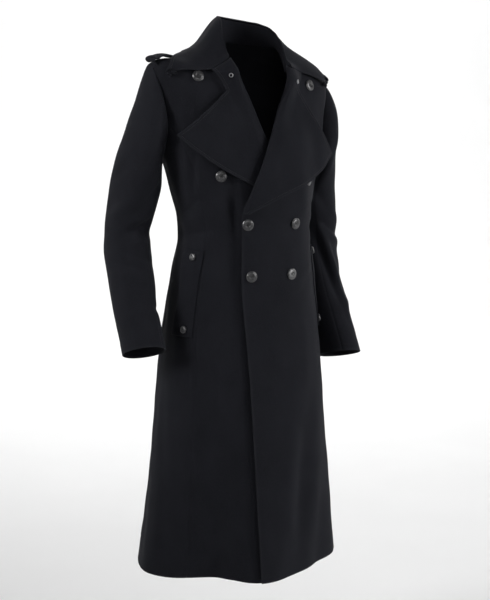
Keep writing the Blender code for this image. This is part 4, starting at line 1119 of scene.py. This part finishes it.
def cleared(points):
    """Points moved off the shoulders and chest, square to them, where they lie too close."""
    x, y = np.abs(points[..., 0]), points[..., 1]
    ground = shoulder_height(x, y)
    slope_x = (shoulder_height(x + CLEAR_STEP, y) - ground) / CLEAR_STEP
    slope_y = (shoulder_height(x, y + CLEAR_STEP) - ground) / CLEAR_STEP
    n = np.stack([-slope_x * np.sign(points[..., 0]), -slope_y, np.ones_like(x)], -1)
    n /= np.linalg.norm(n, axis=-1, keepdims=True)
    clear = COLLAR_CLEAR + neck_stand_off(x, ground)
    short = clear - (points[..., 2] - ground) * n[..., 2]
    eased = CLEAR_SOFT * np.log1p(np.exp(np.minimum(short / CLEAR_SOFT, CLEAR_LIMIT)))
    short = np.where(short > 3 * CLEAR_SOFT, short, eased)
    return points + n * short[..., None]


def collar_pieces():
    """The stand round the neck, and the fall turned down over it in a soft roll."""
    close = np.array(EDGE_OFFSETS) / COLLAR_DEGREE
    turn = np.concatenate([-COLLAR_END + close, np.linspace(-COLLAR_END, COLLAR_END, COLLAR_ROWS)[2:-2],
                           COLLAR_END - close[::-1]])
    seam, fold, edge, away = collar_lines(turn)
    low, high = STAND_SPAN
    share = low + (high - low) * spread(STAND_HEIGHT, STAND_COLUMNS)[0][None, :, None]
    stand = posed(seam[:, None] + (fold - seam)[:, None] * share)
    n = grid_normals(stand, away[:, None])
    ends = edge_distance(stand, stand[:, 0], stand[:, -1], stand[0], stand[-1])
    skins = two_skins(stand, n, CLOTH, ends)
    add_cloth("coat_collar_stand", "collar_stand", skins, 0 * ends)
    length = np.linalg.norm(edge - fold, axis=-1)
    share = spread(length, FALL_COLUMNS, FOLD_OFFSETS, STITCH_OFFSETS)[..., None]
    fall = fall_skin(turn, share)
    neck_side = posed(fold - away * (CLOTH + SEAT_GAP))
    up = away + np.array((0.0, 0.0, 1.0))
    over = np.array((0.0, 0.0, 1.0)) - FOLD_LEAN * away
    over /= np.linalg.norm(over, axis=-1, keepdims=True)
    turned, radius = rolled(neck_side, fall[:, 0], over)
    skin = np.concatenate([turned, fall], 1)
    skin = skin + grid_normals(skin, up[:, None]) * ripple(skin, COLLAR_RIPPLE, "collar")[..., None]
    n = grid_normals(skin, up[:, None])
    thick = roll_thickness(COLLAR_ROLL_THICK * radius, share[..., 0])
    free = edge_distance(skin, skin[:, -1], skin[0], skin[-1])
    stitched = edge_distance(skin, skin[:, -1])
    skins = two_skins(skin, n, thick, free, stitched=stitched)
    add_cloth("coat_collar_fall", "collar_fall", skins, wear_from(free))
    add_stitches("stitch_collar", parallel_line(flat_edge_path(skin, n, stitched)))


def epaulette(side, word):
    """A strap sewn in at the sleeve head, rolled back along the shoulder to under the collar."""
    close = np.array(EDGE_OFFSETS) / STRAP_LENGTH
    share = np.concatenate([close, np.linspace(*STRAP_INNER, STRAP_ROWS), 1 - close[::-1]])
    seat_x = np.minimum(STRAP["x"](share), STRAP_SEAT_X)
    seat_z = shoulder_height(seat_x, STRAP_Y)
    overhang = (seat_x - STRAP["x"](share)) * STRAP_OVERHANG
    middle_z = seat_z + overhang + STRAP["rise"](share) + STRAP_LIFTS[side]
    line = np.stack([STRAP["x"](share), np.full_like(share, STRAP_Y), middle_z], -1)
    across = spread(STRAP_MEAN_WIDTH, STRAP_COLUMNS, STITCH_OFFSETS, STITCH_OFFSETS)[0] - 0.5
    strap = np.repeat(line[:, None], len(across), 1)
    strap[..., 1] += across[None, :] * STRAP["width"](share)[:, None]
    droop = shoulder_height(seat_x[:, None], strap[..., 1]) - seat_z[:, None]
    strap[..., 2] += STRAP_DROOP * droop
    strap[..., 0] *= side
    strap = posed(strap)
    n = grid_normals(strap[STRAP_LOOP_ROWS:], np.array((0.0, 0.0, 1.0)))
    n = grid_normals(strap, np.concatenate([0 * strap[:STRAP_LOOP_ROWS], n]))
    strap = strap + n * STRAP_THICK / 2
    free = edge_distance(strap, strap[:, 0], strap[:, -1], strap[0], strap[-1])
    stitched = edge_distance(strap, strap[:, 0], strap[:, -1])
    skins = two_skins(strap, n, STRAP_THICK, free, stitched=stitched)
    add_cloth(f"coat_epaulette_{word}", f"epaulette_{word}", skins, wear_from(free))
    loose = np.arange(len(strap)) > STRAP_SEWN_ROWS
    add_stitches(f"stitch_epaulette_front_{word}", offset_line(strap, n, loose))
    add_stitches(f"stitch_epaulette_back_{word}", offset_line(strap[:, ::-1], n[:, ::-1], loose))


def welt(side, word):
    """A stitched-on strip behind the princess seam, its back edge bowed and standing off a little."""
    height = WELT_TOP_Z - WELT_BOTTOM_Z
    outwards = np.array((side, WELT_FACING, 0.0))
    z = (WELT_BOTTOM_Z + height * spread(height, WELT_ROWS)[0])[:, None]
    share = spread(WELT_WIDTH, WELT_COLUMNS)
    middle = PRINCESS_TURN + np.radians(WELT_MIDDLE_TURN)
    moved = body_skin(side, middle + TURN_STEP, z) - body_skin(side, middle, z)
    speed = np.linalg.norm(moved, axis=-1) / TURN_STEP
    up = (z - WELT_BOTTOM_Z) / height
    bow = np.sin(math.pi * up)
    wide = WELT_WIDTH * (1 - WELT_BOW * bow**WELT_BOW_POWER)
    sewn_down = np.minimum(smoothstep(share, *WELT_SEWN_FRONT), smoothstep(1 - up, *WELT_SEWN_TOP))
    thick = WELT_THICK * (WELT_SEWN_SHARE + (1 - WELT_SEWN_SHARE) * sewn_down)
    turn = PRINCESS_TURN + np.radians(WELT_START_TURN + WELT_SLANT * (1 - up)) + share * wide / speed
    z = z + 0 * turn
    lip = WELT_LIP_LIFT * share**2 * bow + WELT_FOOT_LIFT * (1 - smoothstep(up, *WELT_FOOT_SPAN))
    skin = body_skin(side, turn, z)
    n = grid_normals(skin, outwards)
    creased = crease_lift(BODY_CREASES, z, side * turn * BODY_RADIUS) + ripple(skin, RIPPLE, "body")
    skin = skin + n * (WELT_LIFT + thick + lip + creased)[..., None]
    n = grid_normals(skin, outwards)
    free = edge_distance(skin, skin[:, 0], skin[:, -1], skin[0], skin[-1])
    skins = two_skins(skin, n, thick, free)
    wear = WELT_WEAR * wear_from(edge_distance(skin, skin[:, -1], skin[0]))
    return add_cloth(f"coat_welt_{word}", f"pocket_welt_{word}", skins, wear)


def tube_faces(base, rings, sides):
    """Faces of a capped tube whose rings of points follow each other from a first point."""
    faces = []
    for row in range(rings - 1):
        for k in range(sides):
            a, b = base + row * sides + k, base + row * sides + (k + 1) % sides
            faces.append((a, a + sides, b + sides, b))
    last = base + (rings - 1) * sides
    return faces + [tuple(range(base, base + sides)), tuple(range(last + sides - 1, last - 1, -1))]


def add_stitches(name, path):
    """A row of short spindle stitches along a path of points with normals, lying in the stitch line."""
    points, normals = path
    run = np.concatenate([[0.0], np.cumsum(np.linalg.norm(np.diff(points, axis=0), axis=-1))])
    ring = np.radians(np.arange(STITCH_SIDES) * 360 / STITCH_SIDES)
    verts, faces = [], []

    def at(distance, values):
        return np.array([np.interp(distance, run, values[:, k]) for k in range(3)])

    for k in range(int(run[-1] / STITCH_PITCH)):
        middle = (k + 0.5) * STITCH_PITCH
        along = at(middle + STITCH_STEP, points) - at(middle - STITCH_STEP, points)
        along /= np.linalg.norm(along)
        up = at(middle, normals)
        up = up - along * (up @ along)
        up /= np.linalg.norm(up)
        beside = np.cross(along, up)
        faces += tube_faces(len(verts), len(STITCH_STATIONS), STITCH_SIDES)
        for station in STITCH_STATIONS:
            rise = STITCH_ARCH * STITCH_RADIUS * (1 - station.place**2)
            centre = at(middle, points) + along * station.place * STITCH_LENGTH / 2 + up * rise
            for angle in ring:
                spin = math.cos(angle) * beside + math.sin(angle) * up
                verts.append(centre + STITCH_RADIUS * station.share * spin)
    mesh = bpy.data.meshes.new(name)
    mesh.from_pydata([tuple(v) for v in verts], [], faces)
    mesh.shade_smooth()
    add_piece(name, mesh, [THREAD])


def seat(obj, origin, direction, radius):
    """Where a disc of this radius rests on a piece seen from origin: its middle and normal."""
    tree = BVHTree.FromObject(obj, bpy.context.evaluated_depsgraph_get())
    hit, normal, _, _ = tree.ray_cast(Vector(origin), Vector(direction).normalized())
    mean = Vector((0, 0, 0))
    across = normal.orthogonal().normalized()
    other = normal.cross(across)
    spots = []
    for k in range(2 * SEAT_SPOTS):
        angle = 2 * math.pi * k / SEAT_SPOTS
        reach = radius if k < SEAT_SPOTS else radius / 2
        start = hit + reach * (math.cos(angle) * across + math.sin(angle) * other) + normal * SEAT_REACH
        near, near_normal, _, _ = tree.ray_cast(start, -normal)
        if near is not None and (near - hit).length < 2 * radius:
            spots.append(near)
            mean += near_normal
    normal = mean.normalized()
    height = max((spot - hit).dot(normal) for spot in spots)
    return hit + normal * (max(height, 0.0) + SEAT_GAP), normal


def button_height(share, angle):
    """Height of a button's face at a share of its radius: a rounded rim, a band and a pierced well."""
    height = 1.0 - BUTTON_CROWN * share**2 - RIM_DROP * smoothstep(share, *RIM_SPAN) ** RIM_POWER
    for ring in BUTTON_RINGS:
        height = height + ring.height * np.exp(-(((share - ring.place) / ring.width) ** 2))
    height = height - WELL_DEPTH * (1 - smoothstep(share, *WELL_SPAN))
    x, y = share * np.cos(angle), share * np.sin(angle)
    for k in range(HOLE_COUNT):
        spot = math.radians(HOLE_TURN + 360 * k / HOLE_COUNT)
        away = np.hypot(x - HOLE_PLACE * math.cos(spot), y - HOLE_PLACE * math.sin(spot))
        height = height - HOLE_DEPTH * (1 - smoothstep(away, *HOLE_SPAN))
    return height


def button_body(radius):
    """Rings of points of a button, from the middle of its face round to its back."""
    angle = np.arange(BUTTON_SIDES) * 2 * math.pi / BUTTON_SIDES
    shares = np.concatenate([np.linspace(*run) for run in BUTTON_FACE])[:, None]
    under = np.array(BUTTON_UNDERSIDE)
    face = button_height(shares + 0 * angle, angle + 0 * shares)
    rise = np.concatenate([face, under[:, 1:] + 0 * angle]) * BUTTON_THICK
    reach = np.concatenate([shares, under[:, :1]]) * radius
    return np.stack([reach * np.cos(angle), reach * np.sin(angle), rise], -1)


def thread_bar(radius, spin, rise):
    """Points of a bar of thread across the well, ring by ring, sunk into two of its holes."""
    along = np.array((math.cos(spin), math.sin(spin), 0.0))
    beside = np.array((-math.sin(spin), math.cos(spin), 0.0))
    up = np.array((0.0, 0.0, 1.0))
    points = []
    for place in np.linspace(-1, 1, BAR_RINGS):
        height = WELL_FLOOR * BUTTON_THICK + radius * (rise * (1 - place**4) - BAR_SINK * place**4)
        centre = along * place * BAR_REACH * radius + height * up
        for angle in np.arange(BAR_SIDES) * 2 * math.pi / BAR_SIDES:
            spoke = math.cos(angle) * beside + math.sin(angle) * up
            points.append(centre + BAR_RADIUS * radius * spoke)
    return points


def add_button(name, obj, origin, direction, radius):
    """A polished button with a banded face round a well, sewn on through four holes."""
    middle, normal = seat(obj, origin, direction, radius)
    turn = Vector((0, 0, 1)).rotation_difference(normal).to_matrix()
    body = button_body(radius)
    points = list(body.reshape(-1, 3))
    faces = tube_faces(0, len(body), BUTTON_SIDES)
    slots = [0] * len(faces)
    for k in range(2):
        bar = [face[::-1] for face in tube_faces(len(points), BAR_RINGS, BAR_SIDES)]
        points += thread_bar(radius, math.radians(HOLE_TURN + 90 * k), BAR_ARCH + BAR_STACK * k)
        faces += bar
        slots += [1] * len(bar)
    mesh = bpy.data.meshes.new(name)
    mesh.from_pydata([tuple(middle + turn @ Vector(point)) for point in points], [], faces)
    mesh.polygons.foreach_set("material_index", slots)
    mesh.shade_smooth()
    add_piece(f"coat_{name}", mesh, [HORN, THREAD], [name])


def wire_ring(radius, wire):
    """Points and faces of a flat ring of round wire."""
    count, sides = HOOK_RINGS, HOOK_SIDES
    around = np.arange(count)[:, None] * 2 * math.pi / count
    section = np.arange(sides)[None, :] * 2 * math.pi / sides
    reach = radius + wire * np.cos(section)
    rise = wire * (1 + np.sin(section)) + 0 * around
    points = np.stack([reach * np.cos(around), reach * np.sin(around), rise], -1).reshape(-1, 3)
    faces = []
    for k in range(count):
        for j in range(sides):
            here, after = k * sides, (k + 1) % count * sides
            faces.append((here + j, after + j, after + (j + 1) % sides, here + (j + 1) % sides))
    return points, faces


def add_hook(name, side, obj):
    """Half of the throat fastening: a wire ring that lies on the lapel by the notch."""
    place = posed(np.array((side * HOOK_PLACES[side], 0.0, HOOK_Z)))
    middle, normal = seat(obj, (place[0], SIGHT_START, place[2]), (0, 1, 0), HOOK_RADIUS + HOOK_WIRE)
    turn = Vector((0, 0, 1)).rotation_difference(normal).to_matrix()
    points, faces = wire_ring(HOOK_RADIUS, HOOK_WIRE)
    mesh = bpy.data.meshes.new(name)
    mesh.from_pydata([tuple(middle + turn @ Vector(point)) for point in points], [], faces)
    mesh.shade_smooth()
    add_piece(f"coat_{name}", mesh, [STEEL], [name])


def node_tree(name):
    """A new material with its shader, a place to build on and helpers to add and join nodes."""
    made = bpy.data.materials.new(name)
    made.use_nodes = True
    tree = made.node_tree
    shader = tree.nodes["Principled BSDF"]
    place = tree.nodes.new("ShaderNodeTexCoord").outputs["Object"]

    def noise(scale, detail, stretch=(1, 1, 1)):
        mapping = tree.nodes.new("ShaderNodeMapping")
        mapping.inputs["Scale"].default_value = stretch
        tree.links.new(place, mapping.inputs["Vector"])
        node = tree.nodes.new("ShaderNodeTexNoise")
        node.inputs["Scale"].default_value = scale
        node.inputs["Detail"].default_value = detail
        tree.links.new(mapping.outputs["Vector"], node.inputs["Vector"])
        return node.outputs["Fac"]

    def spans(value, low, high, start=0.0, end=1.0):
        node = tree.nodes.new("ShaderNodeMapRange")
        for socket, number in zip(("From Min", "From Max", "To Min", "To Max"), (start, end, low, high)):
            node.inputs[socket].default_value = number
        tree.links.new(value, node.inputs["Value"])
        return node.outputs["Result"]

    def mixed(share, first, second):
        node = tree.nodes.new("ShaderNodeMix")
        node.data_type = "RGBA"
        tree.links.new(share, node.inputs["Factor"])
        for socket, colour in ((node.inputs[6], first), (node.inputs[7], second)):
            if isinstance(colour, tuple):
                socket.default_value = colour
            else:
                tree.links.new(colour, socket)
        return node.outputs[2]

    def bumped(height, strength, distance, under=None):
        node = tree.nodes.new("ShaderNodeBump")
        node.inputs["Strength"].default_value = strength
        node.inputs["Distance"].default_value = distance
        tree.links.new(height, node.inputs["Height"])
        if under is not None:
            tree.links.new(under, node.inputs["Normal"])
        return node.outputs["Normal"]

    return made, tree, shader, noise, spans, mixed, bumped


def wool_material():
    """Black melton: a felted nap with fine flecks, faint clouding and paler worn edges."""
    made, tree, shader, noise, spans, mixed, bumped = node_tree("wool")
    cloud = spans(noise(22.0, 5.0, (1, 1, 0.6)), 0.0, 1.0, 0.3, 0.7)
    fleck = spans(noise(650.0, 5.0, (1, 1, 0.45)), 0.0, 1.0, 0.35, 0.75)
    nap = noise(1700.0, 3.0, (1, 1, 0.5))
    pill = noise(260.0, 4.0)
    tone = mixed(cloud, *WOOL_TONES)
    tone = mixed(fleck, tone, WOOL_FLECK)
    wear = tree.nodes.new("ShaderNodeAttribute")
    wear.attribute_name = "wear"
    tone = mixed(spans(wear.outputs["Fac"], 0.0, 0.5), tone, WOOL_WORN)
    tree.links.new(tone, shader.inputs["Base Color"])
    tree.links.new(spans(fleck, 0.84, 0.96), shader.inputs["Roughness"])
    shader.inputs["Specular IOR Level"].default_value = 0.12
    shader.inputs["Sheen Weight"].default_value = 0.02
    shader.inputs["Sheen Roughness"].default_value = 0.42
    shader.inputs["Sheen Tint"].default_value = WOOL_SHEEN
    rough = bumped(pill, 0.22, 0.0012)
    tree.links.new(bumped(nap, 0.45, 0.0005, rough), shader.inputs["Normal"])
    return made


def thread_material():
    """Twisted black thread, a little smoother than the wool."""
    made, tree, shader, noise, spans, mixed, bumped = node_tree("thread")
    twist = noise(2600.0, 2.0, (1, 1, 1))
    tree.links.new(mixed(twist, *THREAD_TONES), shader.inputs["Base Color"])
    tree.links.new(spans(twist, 0.5, 0.7), shader.inputs["Roughness"])
    tree.links.new(bumped(twist, 0.4, 0.0002), shader.inputs["Normal"])
    return made


def horn_material():
    """Polished dark horn-like plastic, with faint streaks and handling marks."""
    made, tree, shader, noise, spans, mixed, bumped = node_tree("horn")
    streak = spans(noise(160.0, 4.0, (1, 0.25, 1)), 0.0, 1.0, 0.35, 0.7)
    mark = noise(900.0, 4.0)
    tone = mixed(streak, *HORN_TONES)
    tree.links.new(tone, shader.inputs["Base Color"])
    tree.links.new(spans(mark, 0.22, 0.36), shader.inputs["Roughness"])
    shader.inputs["IOR"].default_value = 1.85
    tree.links.new(bumped(mark, 0.08, 0.0002), shader.inputs["Normal"])
    return made


def steel_material():
    """Bright drawn wire with fine scratches."""
    made, tree, shader, noise, spans, mixed, bumped = node_tree("steel")
    scratch = noise(1500.0, 4.0, (1, 1, 0.3))
    tree.links.new(mixed(scratch, *STEEL_TONES), shader.inputs["Base Color"])
    shader.inputs["Metallic"].default_value = 1.0
    tree.links.new(spans(scratch, 0.2, 0.4), shader.inputs["Roughness"])
    tree.links.new(bumped(scratch, 0.1, 0.0002), shader.inputs["Normal"])
    return made


def add_stage():
    """A pale round floor that sweeps up to a wall all round the coat."""
    made, tree, shader, noise, _, mixed, _ = node_tree("studio_floor")
    tone = mixed(noise(3.0, 2.0), *FLOOR_TONES)
    tree.links.new(tone, shader.inputs["Base Color"])
    shader.inputs["Roughness"].default_value = 0.9
    profile = [(STAGE_CORE, 0.0)]
    for angle in np.radians(np.linspace(0, 90, STAGE_BEND_STEPS)):
        out = STAGE_RADIUS - STAGE_BEND * (1 - math.sin(angle))
        profile.append((out, STAGE_BEND * (1 - math.cos(angle))))
    profile.append((STAGE_RADIUS, STAGE_HEIGHT))
    sides = STAGE_SIDES
    verts = []
    for out, rise in profile:
        for k in range(sides):
            turn = 2 * math.pi * k / sides
            verts.append((out * math.cos(turn), out * math.sin(turn), FLOOR_Z + rise))
    faces = [tuple(range(sides))]
    for row in range(len(profile) - 1):
        for k in range(sides):
            here, after = row * sides + k, row * sides + (k + 1) % sides
            faces.append((here, here + sides, after + sides, after))
    mesh = bpy.data.meshes.new("studio_floor")
    mesh.from_pydata(verts, [], faces)
    mesh.shade_smooth()
    mesh.materials.append(made)
    obj = bpy.data.objects.new("studio_floor", mesh)
    bpy.context.scene.collection.objects.link(obj)


def add_light(row):
    """A soft rectangular light, aimed at its target."""
    light = bpy.data.lights.new(row.name, "AREA")
    light.shape = "RECTANGLE"
    light.size, light.size_y = row.size
    light.energy = row.power
    light.spread = math.radians(row.beam)
    obj = bpy.data.objects.new(row.name, light)
    obj.location = row.place
    obj.rotation_euler = (Vector(row.target) - Vector(row.place)).to_track_quat("-Z", "Y").to_euler()
    bpy.context.scene.collection.objects.link(obj)


def add_lights():
    """Plain white surroundings and the studio's lights."""
    world = bpy.data.worlds.new("studio")
    world.use_nodes = True
    background = world.node_tree.nodes["Background"]
    background.inputs["Color"].default_value = (1.0, 1.0, 1.0, 1)
    background.inputs["Strength"].default_value = AMBIENT
    scene = bpy.context.scene
    scene.world = world
    for row in LIGHTS:
        add_light(row)
    scene.view_settings.view_transform = "Standard"
    scene.view_settings.look = "None"


def add_camera():
    """The camera in front of the coat, turned to its right side and tilted down."""
    data = bpy.data.cameras.new("camera")
    data.sensor_fit = "AUTO"
    data.sensor_width = SENSOR_LONG_SIDE
    data.lens = LENS
    obj = bpy.data.objects.new("camera", data)
    yaw = math.radians(VIEW_YAW)
    obj.location = (
        -math.sin(yaw) * VIEW_DISTANCE + math.cos(yaw) * VIEW_RIGHT,
        -math.cos(yaw) * VIEW_DISTANCE - math.sin(yaw) * VIEW_RIGHT,
        VIEW_HEIGHT,
    )
    obj.rotation_euler = (math.radians(90 - VIEW_PITCH), 0.0, -yaw)
    bpy.context.scene.collection.objects.link(obj)
    bpy.context.scene.camera = obj


WOOL = wool_material()
THREAD = thread_material()
HORN = horn_material()
STEEL = steel_material()


def main():
    """Camera, lights and stage, then the coat piece by piece."""
    add_camera()
    add_lights()
    add_stage()
    carriers = {}
    for side, word in ((1, "left"), (-1, "right")):
        carriers[f"front_{word}"] = front_panel(side, word)
        side_panel(side, word)
        back_panel(side, word)
        sleeve_piece(side, word, "upper", SLEEVE_BACK_SEAM - 360, SLEEVE_FRONT_SEAM, UPPER_SLEEVE_COLUMNS)
        sleeve_piece(side, word, "under", SLEEVE_FRONT_SEAM, SLEEVE_BACK_SEAM, UNDER_SLEEVE_COLUMNS)
        carriers[f"lapel_{word}"] = lapel(side, word)
        epaulette(side, word)
        carriers[f"pocket_welt_{word}"] = welt(side, word)
    collar_pieces()
    for row in BUTTON_PLACES:
        x, _, z = posed(np.array((row.x, 0.0, row.z)))
        add_button(f"button_{row.name}", carriers[row.carrier], (x, SIGHT_START, z), (0, 1, 0), BUTTON_RADIUS)
    for side, word in ((1, "left"), (-1, "right")):
        for end, z in POCKET_BUTTONS.items():
            skin = body_skin(side, PRINCESS_TURN + np.radians(POCKET_BUTTON_TURN), z)
            out = (skin[0] * SIDE_SIGHT, skin[1] * SIDE_SIGHT, skin[2])
            towards = (-skin[0], -skin[1], 0.0)
            name = f"button_pocket_{end}_{word}"
            add_button(name, carriers[f"pocket_welt_{word}"], out, towards, POCKET_BUTTON_RADIUS)
        add_hook(f"throat_{'eye' if side > 0 else 'hook'}_{word}", side, carriers[f"lapel_{word}"])


main()
